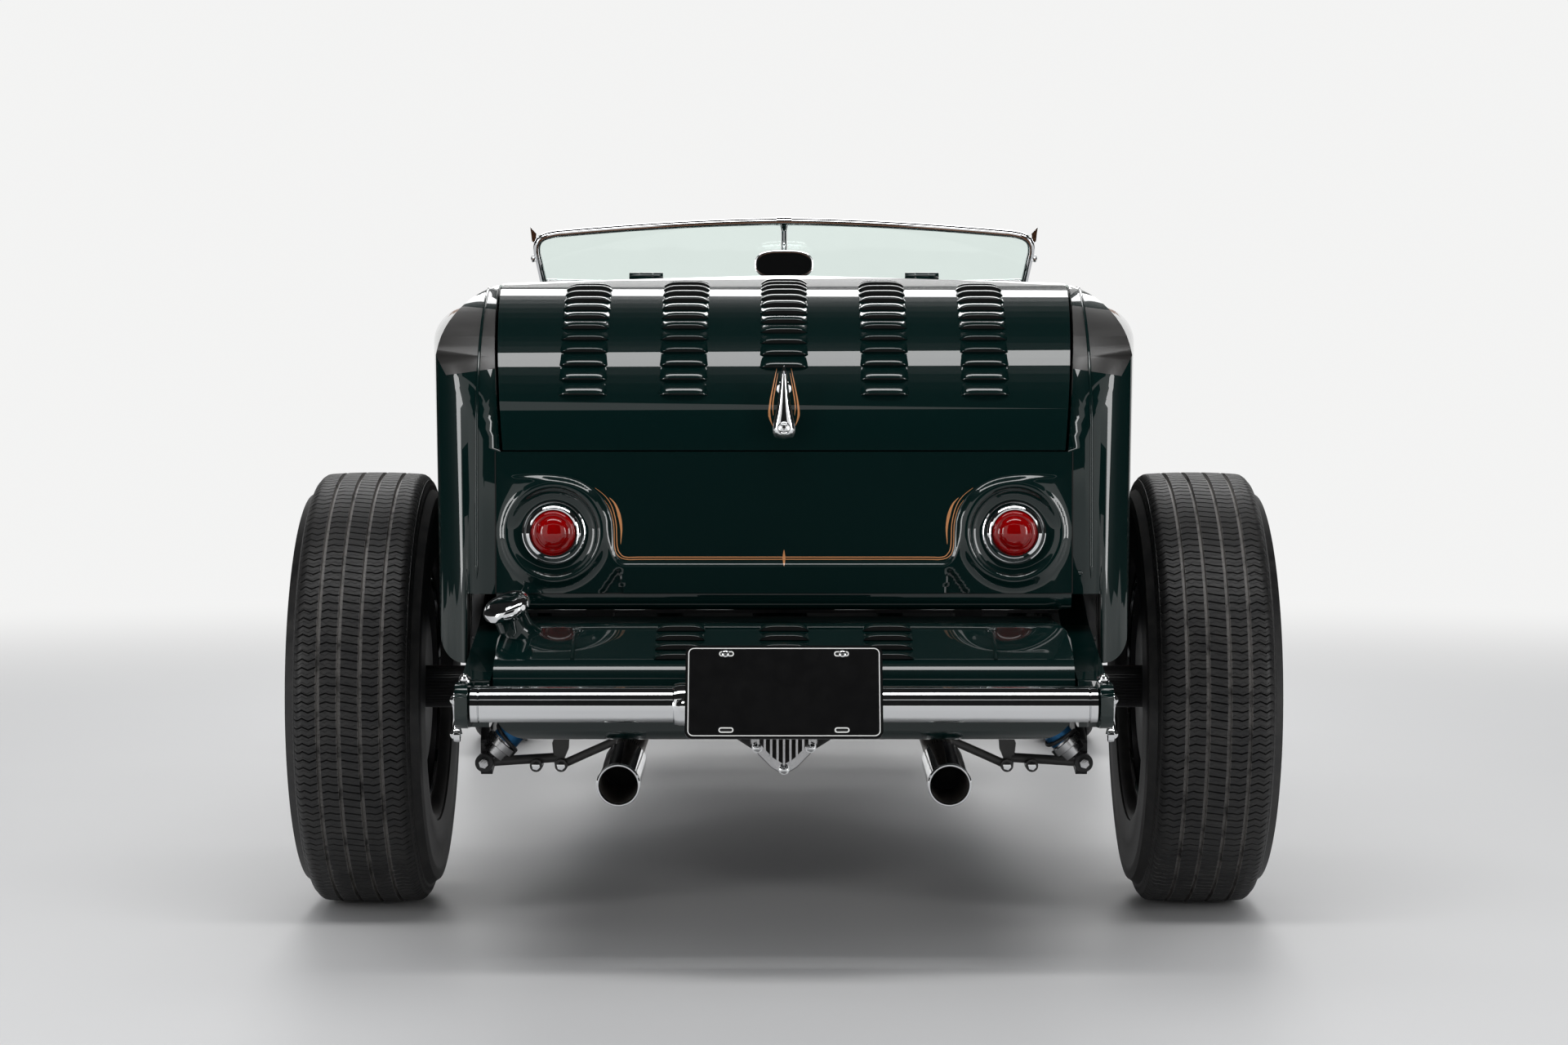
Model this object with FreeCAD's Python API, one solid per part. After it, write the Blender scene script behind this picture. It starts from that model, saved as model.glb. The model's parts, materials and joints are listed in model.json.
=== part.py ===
"""Street rod roadster: a fenderless open car on a ladder frame.

Lengths are in millimetres. X points to the car's right, Y to its front and Z up.
Every place is measured from the point on the floor under the middle of the rear
axle. save() then moves each piece to the car's own frame, whose origin is on the
floor under the middle of the whole car.
"""
import FreeCAD, Part
import math
import os

os.makedirs("parts", exist_ok=True)

# ---- Driving dimensions ------------------------------------------------------
WHEELBASE = 2692.0

REAR_TYRE = {"radius": 387.0, "half_width": 117.0, "tread_half": 86.0, "rim": 203.2}
FRONT_TYRE = {"radius": 337.0, "half_width": 82.5, "tread_half": 60.0, "rim": 190.5}
REAR_WHEEL_X = 735.0
FRONT_WHEEL_X = 741.0
TYRE_WALL = 13.0
BEAD_CLEARANCE = 0.6

BODY_WALL = 45.0
PANEL_GAP = 5.0
BODY_BOTTOM_Z = 471.0
TAIL_Y = -500.0
COCKPIT_REAR_Y = 100.0
LID_FRONT_Y = 50.0
DOOR_REAR_Y = 640.0
DOOR_FRONT_Y = 1215.0
DASH_Y = 1240.0
FIREWALL_Y = 1620.0
MOUTH_INSET = 70.0
MOUTH_CORNERS = (90.0, 300.0, 60.0)
SHELL_REAR_Y = WHEELBASE - 82
SHELL_DEPTH = 110.0

LID_BOTTOM_Z = 823.0
LID_HALF_BOTTOM = 463.0
LID_HALF_TOP = 485.0
LID_THICKNESS = 30.0
DECK_LOW_ARC = 262.0
DECK_HIGH_ARC = 330.0
DECK_KNEE_Z = 935.0
DECK_KNEE_RUN = 146.0
DECK_SLOPE = 12.0
TAIL_CORNER = 125.0
TAIL_FLARE = 60.0
TAIL_CREASE = 1.0
TAIL_PAN_Z = 586.0
AXLE_KICK_Z = 600.0
FLOOR_THICKNESS = 29.0
FLOOR_Z = BODY_BOTTOM_Z + BODY_WALL
KICK_FLOOR_Z = AXLE_KICK_Z + FLOOR_THICKNESS
KICK_FRONT_Y = COCKPIT_REAR_Y + 212
AXLE_BAY_FRONT_Y = KICK_FRONT_Y - FLOOR_THICKNESS
AXLE_BAY_HALF = 545.0
ARCH_CLEARANCE = 12.0

RAIL_THICKNESS = 47.0
RAIL_TOP_Z = BODY_BOTTOM_Z
RAIL_DEPTH = 150.0
RAIL_CORNER = 20.0
REAR_AXLE_Z = REAR_TYRE["radius"]
FRONT_AXLE_Z = FRONT_TYRE["radius"]
AXLE_TUBE_RADIUS = 38.0

REAR_SPREADER_Y = -800.0
FRONT_HORN_Y = WHEELBASE + 380
HORN_TIP = 20.0
PLATE_WIDTH = 304.8
PLATE_HEIGHT = 152.4
PLATE_THICKNESS = 3.0
PLATE_LEAN = 25.0
PLATE_Y = REAR_SPREADER_Y - 52

HINGE_PIN = 5.0
RUNNING_FIT = 0.05
SEAT_CLEARANCE = 0.3


# ---- Shape helpers -----------------------------------------------------------
def vec(x, y, z):
    return FreeCAD.Vector(x, y, z)


def box(x0, x1, y0, y1, z0, z1):
    return Part.makeBox(x1 - x0, y1 - y0, z1 - z0, vec(x0, y0, z0))


def rod(start, end, radius):
    """Round bar between two points."""
    along = end.sub(start)
    return Part.makeCylinder(radius, along.Length, start, along)


def rounded_wire(corners, place, closed=True):
    """Lines joined by tangent arcs. Each corner is (a, b, radius); place makes the 3-D point."""
    points = [place(a, b) for a, b, radius in corners]
    radii = [radius for a, b, radius in corners]
    return rounded_path(points, radii, closed)


def rounded_path(points, radii, closed=False):
    """Wire through the points, each corner rounded by its own radius (0 leaves it sharp)."""
    count = len(points)
    entries = []
    for i, point in enumerate(points):
        end_point = not closed and i in (0, count - 1)
        if radii[i] <= 0 or end_point:
            entries.append((point, None, point))
            continue
        back = points[i - 1].sub(point).normalize()
        ahead = points[(i + 1) % count].sub(point).normalize()
        half = back.getAngle(ahead) / 2
        if half > math.pi / 2 - 0.001:
            entries.append((point, None, point))
            continue
        bisector = back.add(ahead).normalize()
        reach = radii[i] / math.tan(half)
        centre_distance = radii[i] / math.sin(half)
        start = point.add(back * reach)
        middle = point.add(bisector * (centre_distance - radii[i]))
        end = point.add(ahead * reach)
        entries.append((start, middle, end))
    edges = []
    for i, (start, middle, end) in enumerate(entries):
        if middle is not None:
            edges.append(Part.Arc(start, middle, end).toShape())
        last = i == count - 1
        if last and not closed:
            break
        following = entries[(i + 1) % count][0]
        if end.distanceToPoint(following) > 1e-4:
            edges.append(Part.LineSegment(end, following).toShape())
    return Part.Wire(edges)


def plate_yz(corners, x0, x1):
    """Side-view outline of (y, z, radius) corners, extruded from x0 to x1."""
    wire = rounded_wire(corners, lambda y, z: vec(x0, y, z))
    return Part.Face(wire).extrude(vec(x1 - x0, 0, 0))


def plate_xz(corners, y0, y1):
    """Front-view outline of (x, z, radius) corners, extruded from y0 to y1."""
    wire = rounded_wire(corners, lambda x, z: vec(x, y0, z))
    return Part.Face(wire).extrude(vec(0, y1 - y0, 0))


def plate_xy(corners, z0, z1):
    """Plan outline of (x, y, radius) corners, extruded from z0 to z1."""
    wire = rounded_wire(corners, lambda x, y: vec(x, y, z0))
    return Part.Face(wire).extrude(vec(0, 0, z1 - z0))


def both_halves(half):
    """Outline corners of the right half, repeated on the left in reverse order."""
    return half + [(-a, b, radius) for a, b, radius in reversed(half)]


def tube(points, radius, bend):
    """Round bar along a bent path."""
    path = rounded_path(points, [bend] * len(points))
    start = points[0]
    circle = Part.Wire(Part.makeCircle(radius, start, points[1].sub(start)))
    return path.makePipeShell([circle], True, True)


def turned(outline, centre, axis, outward):
    """Solid of revolution. Each outline corner is (along the axis, radius, rounding)."""
    wire = rounded_wire(outline, lambda a, r: centre.add(axis * a).add(outward * r))
    return Part.Face(wire).revolve(centre, axis, 360)


def mirrored(shape):
    return shape.mirror(vec(0, 0, 0), vec(1, 0, 0))


def pair(shape):
    """The piece and its mirror image on the car's other side."""
    return Part.makeCompound([shape, mirrored(shape)])


def fused(first, *others):
    return first.fuse(list(others)).removeSplitter()


def middle_of_car():
    """How far the middle of the car, from plate to horn tips, lies ahead of the rear axle."""
    lean = math.radians(PLATE_LEAN)
    plate_rear = PLATE_Y - math.sin(lean) * PLATE_HEIGHT / 2 - math.cos(lean) * PLATE_THICKNESS
    return (plate_rear + FRONT_HORN_Y + HORN_TIP) / 2


MIDDLE_AHEAD_OF_REAR_AXLE = middle_of_car()


def save(node, shape):
    moved = shape.copy()
    moved.translate(vec(0, -MIDDLE_AHEAD_OF_REAR_AXLE, 0))
    print(node, "solids", len(moved.Solids), "valid", moved.isValid(), "litres", round(moved.Volume / 1e6, 2))
    moved.exportStep("parts/" + node + ".step")


# ---- Body sections -----------------------------------------------------------
# y, half width, height of the top at the side and at the middle, top corner radius
BODY_SECTIONS = [
    (TAIL_Y, 594.0, 1082.0, 1101.0, 90.0),
    (LID_FRONT_Y, 603.0, 1096.0, 1115.0, 90.0),
    (DOOR_REAR_Y, 698.0, 1090.0, 1108.0, 70.0),
    (DOOR_FRONT_Y, 612.0, 1136.0, 1160.0, 80.0),
    (FIREWALL_Y, 468.0, 1112.0, 1146.0, 90.0),
]
SIDE_TUCK = 12.0
BODY_FOOT_RADIUS = 50.0
CROWN_RADIUS = 1500.0


def body_section(y, half_width, side_z, middle_z, corner, inset, bottom_z):
    """Cross-section of the body, moved inwards all round by inset."""
    half = [
        (half_width - SIDE_TUCK - inset, bottom_z + inset, max(BODY_FOOT_RADIUS - inset, 5.0)),
        (half_width - inset, side_z - inset, corner - inset * 0.6),
    ]
    corners = [half[0], half[1], (0.0, middle_z - inset, CROWN_RADIUS)]
    corners += [(-a, b, radius) for a, b, radius in reversed(half)]
    return rounded_wire(corners, lambda x, z: vec(x, y, z))


def shifted_corner(y, z, angle_in, angle_out, inset):
    """A side-view corner moved so that both its lines shift to their right by inset."""
    middle = math.radians((angle_in + angle_out) / 2 - 90)
    reach = inset / math.cos(math.radians(angle_in - angle_out) / 2)
    return y + reach * math.cos(middle), z + reach * math.sin(middle)


def body_form(inset):
    """The whole body as one closed form, moved inwards by inset."""
    sections = [body_section(*row, inset, BODY_BOTTOM_Z) for row in BODY_SECTIONS]
    loft = Part.makeLoft(sections, True, False)
    widest = max(row[1] for row in BODY_SECTIONS) + 100
    tallest = max(row[3] for row in BODY_SECTIONS) + 100
    front_y = FIREWALL_Y - inset
    plan = [(BODY_SECTIONS[0][1] - 8 - inset, TAIL_Y - TAIL_CREASE + inset, TAIL_CORNER - inset),
            (BODY_SECTIONS[1][1] + TAIL_FLARE - inset, LID_FRONT_Y, 0),
            (widest, DOOR_REAR_Y, 0),
            (widest, front_y, 0)]
    # the tail rises upright, leans over 45 degrees and then runs out into the deck
    knee = shifted_corner(TAIL_Y, DECK_KNEE_Z, 90, 45, inset)
    crest = shifted_corner(TAIL_Y + DECK_KNEE_RUN, DECK_KNEE_Z + DECK_KNEE_RUN, 45, DECK_SLOPE, inset)
    run_out = (LID_FRONT_Y - crest[0]) * math.tan(math.radians(DECK_SLOPE))
    side = [(knee[0], 0, 0),
            (knee[0], knee[1], DECK_LOW_ARC - inset),
            (crest[0], crest[1], DECK_HIGH_ARC - inset),
            (LID_FRONT_Y, crest[1] + run_out, 0),
            (LID_FRONT_Y, tallest, 0),
            (front_y, tallest, 0),
            (front_y, 0, 0)]
    return loft.common(plate_yz(side, -widest, widest)).common(plate_xy(both_halves(plan), 0, tallest))


def lid_prism(grow):
    """Front-view wedge that parts the deck lid from the body, made wider by grow."""
    high_z = BODY_SECTIONS[1][3] + 60
    taper = (LID_HALF_TOP - LID_HALF_BOTTOM) / (BODY_SECTIONS[1][3] - LID_BOTTOM_Z)
    half = [(LID_HALF_BOTTOM + grow, LID_BOTTOM_Z - grow, 0),
            (LID_HALF_BOTTOM + taper * (high_z - LID_BOTTOM_Z) + grow, high_z, 0)]
    return plate_xz(both_halves(half), TAIL_Y - 100, LID_FRONT_Y + grow)


DOOR_BOTTOM_Z = 520.0
LID_HINGE_X = 250.0
LID_HINGE_Z = BODY_SECTIONS[1][3] + 3
DOOR_HINGE_X = BODY_SECTIONS[3][1] + 14
DOOR_HINGE_Y = DOOR_FRONT_Y + PANEL_GAP / 2
DOOR_HINGE_HEIGHTS = (640.0, 960.0)
KNUCKLE_RADIUS = 9.0
KNUCKLE_HALF = 12.0
KNUCKLE_PLAY = 0.5


def door_prism(grow):
    return box(300, 900, DOOR_REAR_Y - grow, DOOR_FRONT_Y + grow, DOOR_BOTTOM_Z - grow, 1400)


def door_hinge(height, on_door):
    """One strap hinge: the door's middle knuckle, or the body's two outer ones and their pin."""
    x0 = BODY_SECTIONS[3][1] - 26
    x1 = DOOR_HINGE_X
    axis_low = vec(DOOR_HINGE_X, DOOR_HINGE_Y, height - KNUCKLE_HALF)
    axis_high = vec(DOOR_HINGE_X, DOOR_HINGE_Y, height + KNUCKLE_HALF)
    if on_door:
        strap = box(x0, x1, DOOR_HINGE_Y - 38, DOOR_HINGE_Y, height - KNUCKLE_HALF, height + KNUCKLE_HALF)
        barrel = rod(axis_low, axis_high, KNUCKLE_RADIUS)
        bore = rod(axis_low - vec(0, 0, 1), axis_high + vec(0, 0, 1), HINGE_PIN + RUNNING_FIT)
        return fused(strap, barrel).cut(bore)
    low = KNUCKLE_HALF + KNUCKLE_PLAY
    high = low + 2 * KNUCKLE_HALF
    pieces = [rod(vec(DOOR_HINGE_X, DOOR_HINGE_Y, height - high),
                  vec(DOOR_HINGE_X, DOOR_HINGE_Y, height + high), HINGE_PIN)]
    for sign in (-1, 1):
        z0 = height + min(sign * low, sign * high)
        z1 = height + max(sign * low, sign * high)
        pieces.append(box(x0, x1, DOOR_HINGE_Y + 2, DOOR_HINGE_Y + 38, z0, z1))
        pieces.append(rod(vec(DOOR_HINGE_X, DOOR_HINGE_Y, z0), vec(DOOR_HINGE_X, DOOR_HINGE_Y, z1),
                          KNUCKLE_RADIUS))
    return fused(*pieces)


def lid_hinge(x, on_lid):
    """One surface hinge of the deck lid, its pin lying across the car."""
    y = LID_FRONT_Y
    z = LID_HINGE_Z + KNUCKLE_RADIUS
    axis_start = vec(x - KNUCKLE_HALF, y, z)
    axis_end = vec(x + KNUCKLE_HALF, y, z)
    if on_lid:
        strap = box(x - KNUCKLE_HALF, x + KNUCKLE_HALF, y - 36, y, LID_HINGE_Z - 30, z)
        bore = rod(axis_start - vec(1, 0, 0), axis_end + vec(1, 0, 0), HINGE_PIN + RUNNING_FIT)
        return fused(strap, rod(axis_start, axis_end, KNUCKLE_RADIUS)).cut(bore)
    low = KNUCKLE_HALF + KNUCKLE_PLAY
    high = low + 1.5 * KNUCKLE_HALF
    pieces = [rod(vec(x - high, y, z), vec(x + high, y, z), HINGE_PIN)]
    for sign in (-1, 1):
        x0 = x + min(sign * low, sign * high)
        x1 = x + max(sign * low, sign * high)
        pieces.append(box(x0, x1, y + PANEL_GAP + 1, y + 34, LID_HINGE_Z - 30, z))
        pieces.append(box(x0, x1, y, y + PANEL_GAP + 1, LID_HINGE_Z + 2, z))
        pieces.append(rod(vec(x0, y, z), vec(x1, y, z), KNUCKLE_RADIUS))
    return fused(*pieces)


OUTER = body_form(0.0)
INNER = body_form(BODY_WALL)
BULKHEAD_Y = COCKPIT_REAR_Y - 40


def cockpit_mouth():
    """Right half of the cockpit's opening in plan, drawn in from the body's side."""
    rows = zip(BODY_SECTIONS[1:4], (COCKPIT_REAR_Y, DOOR_REAR_Y, DASH_Y), MOUTH_CORNERS)
    return [(row[1] - MOUTH_INSET, y, radius) for row, y, radius in rows]


def make_body_tub():
    """Quarters, tail panel, cowl, floor and bulkhead: the fixed steel shell."""
    trunk = INNER.common(box(-900, 900, TAIL_Y, BULKHEAD_Y, KICK_FLOOR_Z, 2000))
    cabin = INNER.common(box(-900, 900, COCKPIT_REAR_Y, FIREWALL_Y, FLOOR_Z, 2000))
    seat_step = box(-900, 900, COCKPIT_REAR_Y - 1, KICK_FRONT_Y, 0, KICK_FLOOR_Z)
    cabin = cabin.cut(seat_step)
    shell = OUTER.cut(trunk).cut(cabin)
    # the floor steps up over the rear axle, and the tank's bay is open to the rear
    axle_bay = box(-AXLE_BAY_HALF, AXLE_BAY_HALF, TAIL_Y + BODY_WALL + 40, AXLE_BAY_FRONT_Y, 0, AXLE_KICK_Z)
    tank_bay = box(-LID_HALF_BOTTOM - 60, LID_HALF_BOTTOM + 60, TAIL_Y - 10, TAIL_Y + BODY_WALL + 50, 0, TAIL_PAN_Z)
    shell = shell.cut(axle_bay).cut(tank_bay)
    shell = shell.cut(plate_xy(both_halves(cockpit_mouth()), 900, 1400))
    shell = shell.cut(lid_prism(PANEL_GAP))
    for prism in (door_prism(PANEL_GAP), mirrored(door_prism(PANEL_GAP))):
        shell = shell.cut(prism)
    arch = rod(vec(REAR_WHEEL_X - REAR_TYRE["half_width"] - ARCH_CLEARANCE, 0, REAR_AXLE_Z),
               vec(900, 0, REAR_AXLE_Z), REAR_TYRE["radius"] + 3 * ARCH_CLEARANCE)
    shell = shell.cut(arch).cut(mirrored(arch))
    hinges = []
    for height in DOOR_HINGE_HEIGHTS:
        hinge = door_hinge(height, False)
        hinges += [hinge, mirrored(hinge)]
    for x in (-LID_HINGE_X, LID_HINGE_X):
        hinges.append(lid_hinge(x, False))
    return fused(shell, *hinges)


def make_deck_lid():
    inner = body_form(LID_THICKNESS)
    panel = OUTER.common(lid_prism(0.0)).cut(inner)
    return fused(panel, lid_hinge(-LID_HINGE_X, True), lid_hinge(LID_HINGE_X, True))


def make_door():
    mouth = [(0, COCKPIT_REAR_Y, 0)] + cockpit_mouth() + [(0, DASH_Y, 0)]
    panel = OUTER.cut(INNER).common(door_prism(0.0)).cut(plate_xy(mouth, 900, 1400))
    hinges = [door_hinge(height, True) for height in DOOR_HINGE_HEIGHTS]
    return fused(panel, *hinges)


# ---- Hood, grille shell and lamps ---------------------------------------------
# the hood tapers from the firewall's section to the grille shell's
SHELL_HALF = 262.0
SHELL_SIDE_Z = 1078.0
SHELL_MIDDLE_Z = 1112.0
SHELL_BOTTOM_Z = 480.0
HOOD_THICKNESS = 14.0
HOOD_BOTTOM_Z = RAIL_TOP_Z + SEAT_CLEARANCE
HOOD_PART_Z = 950.0
HOOD_ROD_RADIUS = 6.0
HOOD_ROD_RISE = 1.0
HOOD_FRONT_GAP = 7.0


def hood_form(inset):
    firewall = BODY_SECTIONS[-1]
    rear = (FIREWALL_Y + PANEL_GAP,) + firewall[1:]
    front = (SHELL_REAR_Y - HOOD_FRONT_GAP, SHELL_HALF, SHELL_SIDE_Z, SHELL_MIDDLE_Z, firewall[4])
    sections = []
    for y, half_width, side_z, middle_z, corner in (rear, front):
        half = [(half_width - SIDE_TUCK - inset, 0.0, 0.0),
                (half_width - inset, side_z - inset, corner - inset)]
        corners = [half[0], half[1], (0.0, middle_z - inset, CROWN_RADIUS / 3)]
        corners += [(-a, b, radius) for a, b, radius in reversed(half)]
        sections.append(rounded_wire(corners, lambda x, z, y=y: vec(x, y, z)))
    return Part.makeLoft(sections, True, True)


HOOD_AXIS_REAR = vec(0, FIREWALL_Y, BODY_SECTIONS[-1][3] + HOOD_ROD_RISE)
HOOD_AXIS_FRONT = vec(0, SHELL_REAR_Y, SHELL_MIDDLE_Z + HOOD_ROD_RISE)
HOOD_SHELL = hood_form(0.0).cut(hood_form(HOOD_THICKNESS))


def make_hood_top_left():
    above = box(-900, -PANEL_GAP / 2, FIREWALL_Y, SHELL_REAR_Y, HOOD_PART_Z + PANEL_GAP, 2000)
    clearance = rod(HOOD_AXIS_REAR - vec(0, 5, 0), HOOD_AXIS_FRONT + vec(0, 5, 0),
                    HOOD_ROD_RADIUS + SEAT_CLEARANCE)
    return HOOD_SHELL.common(above).cut(clearance)


def make_hood_sides():
    below = box(0, 900, FIREWALL_Y, SHELL_REAR_Y, HOOD_BOTTOM_Z, HOOD_PART_Z)
    side = HOOD_SHELL.common(below)
    hinge_rod = rod(HOOD_AXIS_REAR, HOOD_AXIS_FRONT, HOOD_ROD_RADIUS)
    return Part.makeCompound([side, mirrored(side), hinge_rod])


def shell_outline(inset):
    half = [(185.0 - inset, SHELL_BOTTOM_Z + inset, 40.0),
            (SHELL_HALF - inset, 860.0, 300.0),
            (SHELL_HALF - inset, SHELL_SIDE_Z - inset, 88.0 - inset * 0.6)]
    corners = half + [(0.0, SHELL_MIDDLE_Z - inset, CROWN_RADIUS / 3)]
    return corners + [(-a, b, radius) for a, b, radius in reversed(half)]


SHELL_RIM = 42.0
GRILLE_BARS = 21
GRILLE_BAR_WIDTH = 6.0
GRILLE_Y = SHELL_REAR_Y + 62


def make_grille_shell():
    y1 = SHELL_REAR_Y + SHELL_DEPTH
    outer = plate_xz(shell_outline(0.0), SHELL_REAR_Y, y1)
    hole = plate_xz(shell_outline(SHELL_RIM), SHELL_REAR_Y - 1, y1 + 1)
    return outer.cut(hole)


def make_grille_bars():
    """Upright slats tied by three flat cross bars, inside the shell's opening."""
    window = plate_xz(shell_outline(SHELL_RIM), GRILLE_Y, GRILLE_Y + 26)
    pitch = 2 * (SHELL_HALF - SHELL_RIM) / GRILLE_BARS
    bars = []
    for i in range(GRILLE_BARS):
        x = (i - (GRILLE_BARS - 1) / 2) * pitch
        bars.append(box(x - GRILLE_BAR_WIDTH / 2, x + GRILLE_BAR_WIDTH / 2, GRILLE_Y + 4, GRILLE_Y + 26,
                        SHELL_BOTTOM_Z, SHELL_MIDDLE_Z))
    for z in (620.0, 800.0, 980.0):
        bars.append(box(-SHELL_HALF, SHELL_HALF, GRILLE_Y, GRILLE_Y + 8, z - 4, z + 4))
    return fused(*bars).common(window)


def make_radiator():
    window = plate_xz(shell_outline(SHELL_RIM), SHELL_REAR_Y + 2, SHELL_REAR_Y + 52)
    return window


LAMP_X = 338.0
LAMP_Z = 800.0
LAMP_RADIUS = 92.0
LAMP_REAR_Y = SHELL_REAR_Y + 60
LAMP_LENGTH = 165.0
LAMP_STAND_X = 352.0


def make_headlamps():
    """Bullet lamps on upright stands bolted to the frame rails."""
    outline = [(0, 0, 0), (0, 30, 12), (70, LAMP_RADIUS - 6, 70), (LAMP_LENGTH - 22, LAMP_RADIUS - 6, 0),
               (LAMP_LENGTH - 22, LAMP_RADIUS, 0), (LAMP_LENGTH, LAMP_RADIUS, 4), (LAMP_LENGTH, LAMP_RADIUS - 9, 0),
               (LAMP_LENGTH - 26, LAMP_RADIUS - 9, 0), (LAMP_LENGTH - 26, 0, 0)]
    centre = vec(LAMP_X, LAMP_REAR_Y, LAMP_Z)
    bowl = turned(outline, centre, vec(0, 1, 0), vec(1, 0, 0))
    stand_y = LAMP_REAR_Y + LAMP_LENGTH / 2
    stand = tube([vec(LAMP_STAND_X, stand_y, RAIL_TOP_Z - 1), vec(LAMP_STAND_X, stand_y, LAMP_Z - 150),
                  vec(LAMP_X, stand_y, LAMP_Z - LAMP_RADIUS + 20)], 13, 60)
    lamp = fused(bowl, stand.cut(bowl)).cut(RAIL_RIGHT)
    return pair(lamp)


def make_headlamp_lenses():
    outline = [(LAMP_LENGTH - 25.7, 0, 0), (LAMP_LENGTH - 25.7, LAMP_RADIUS - 9.3, 0),
               (LAMP_LENGTH - 4, LAMP_RADIUS - 9.3, 6), (LAMP_LENGTH + 10, 0, 0)]
    centre = vec(LAMP_X, LAMP_REAR_Y, LAMP_Z)
    return pair(turned(outline, centre, vec(0, 1, 0), vec(1, 0, 0)))


# ---- Frame ---------------------------------------------------------------------
SPREADER_RADIUS = 28.5
REAR_SPREADER_Z = 433.0
REAR_SPREADER_HALF = 489.5
HORN_OUTER_X = 509.0
FRONT_SPREADER_RADIUS = 20.0
FRONT_SPREADER_Z = 440.0

# y and outer face of the right rail, from the rear horn to the front one
RAIL_PLAN = [
    (REAR_SPREADER_Y - 40, HORN_OUTER_X),
    (TAIL_Y + 100, HORN_OUTER_X),
    (LID_FRONT_Y, 518.0),
    (DOOR_REAR_Y, 545.0),
    (FIREWALL_Y, 452.0),
    (WHEELBASE - 100, 392.0),
    (FRONT_HORN_Y + HORN_TIP, 366.0),
]
# y, top and bottom of the rail in side view
RAIL_SIDE = [
    (REAR_SPREADER_Y - 40, REAR_SPREADER_Z + 34, REAR_SPREADER_Z - 34),
    (TAIL_Y - 240, 466.0, 392.0),
    (TAIL_Y + 60, 530.0, 420.0),
    (-260.0, 590.0, 498.0),
    (120.0, 590.0, 498.0),
    (AXLE_BAY_FRONT_Y - 15, RAIL_TOP_Z, 380.0),
    (DOOR_REAR_Y, RAIL_TOP_Z, RAIL_TOP_Z - RAIL_DEPTH),
    (FIREWALL_Y + 280, RAIL_TOP_Z, RAIL_TOP_Z - RAIL_DEPTH),
    (WHEELBASE - 120, RAIL_TOP_Z, 405.0),
    (FRONT_HORN_Y - 60, RAIL_TOP_Z, 410.0),
    (FRONT_HORN_Y + HORN_TIP, FRONT_SPREADER_Z + 24, FRONT_SPREADER_Z - 24),
]


def rail_inner(y):
    """Where the rail's inner face stands at y."""
    for (y0, x0), (y1, x1) in zip(RAIL_PLAN, RAIL_PLAN[1:]):
        if y <= y1:
            return x0 + (x1 - x0) * (y - y0) / (y1 - y0) - RAIL_THICKNESS
    return RAIL_PLAN[-1][1] - RAIL_THICKNESS


def make_rail():
    outer = [(x, y, 0) for y, x in RAIL_PLAN]
    inner = [(x - RAIL_THICKNESS, y, 0) for y, x in reversed(RAIL_PLAN)]
    plan = plate_xy(outer + inner, 0, 700)
    top = [(y, z_top, RAIL_CORNER) for y, z_top, z_bottom in RAIL_SIDE]
    bottom = [(y, z_bottom, RAIL_CORNER) for y, z_top, z_bottom in reversed(RAIL_SIDE)]
    side = plate_yz(top + bottom, 200, 700)
    rail = plan.common(side)
    # the rear horn is cut back to a plate, so that the spreader tube fits between the two
    relief = box(0, REAR_SPREADER_HALF, REAR_SPREADER_Y - 60, REAR_SPREADER_Y + 34, 300, 560)
    return rail.cut(relief)


RAIL_RIGHT = make_rail()
BETWEEN_RAILS = plate_xy(both_halves([(x - RAIL_THICKNESS, y, 0) for y, x in RAIL_PLAN]), 0, 700)

REAR_KICK_MEMBER = {"y0": -118.0, "y1": -60.0, "z0": 528.0, "z1": 578.0}
COIL_TOP_X = 327.0
COIL_TOP_Z = 489.0
CENTRE_MEMBER_Y = 780.0
CENTRE_MEMBER_Z = 400.0


def make_crossmembers():
    """Front, gearbox, centre and rear members, each ending on the rails' inner faces."""
    kick = REAR_KICK_MEMBER
    front = box(-500, 500, WHEELBASE - 45, WHEELBASE + 45, 430, RAIL_TOP_Z)
    gearbox = box(-600, 600, FIREWALL_Y - 60, FIREWALL_Y, 345, 395)
    centre = box(-600, 600, CENTRE_MEMBER_Y, CENTRE_MEMBER_Y + 60, CENTRE_MEMBER_Z, CENTRE_MEMBER_Z + 50)
    rear = box(-600, 600, kick["y0"], kick["y1"], kick["z0"], kick["z1"])
    for sign in (-1, 1):
        x = sign * COIL_TOP_X
        rear = rear.fuse(box(x - 24, x + 24, kick["y0"], kick["y1"], COIL_TOP_Z - 24, kick["z0"]))
    tank_sill = box(-600, 600, TANK_FRONT_Y + SEAT_CLEARANCE, TANK_FRONT_Y + 45, 430, 480)
    members = [piece.common(BETWEEN_RAILS) for piece in (front, gearbox, centre, rear, tank_sill)]
    return Part.makeCompound(members)


def make_spreader_bars():
    rear = rod(vec(-REAR_SPREADER_HALF, REAR_SPREADER_Y, REAR_SPREADER_Z),
               vec(REAR_SPREADER_HALF, REAR_SPREADER_Y, REAR_SPREADER_Z), SPREADER_RADIUS)
    half = rail_inner(FRONT_HORN_Y)
    front = rod(vec(-half, FRONT_HORN_Y, FRONT_SPREADER_Z), vec(half, FRONT_HORN_Y, FRONT_SPREADER_Z),
                FRONT_SPREADER_RADIUS)
    return Part.makeCompound([rear, front.common(BETWEEN_RAILS)])


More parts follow.
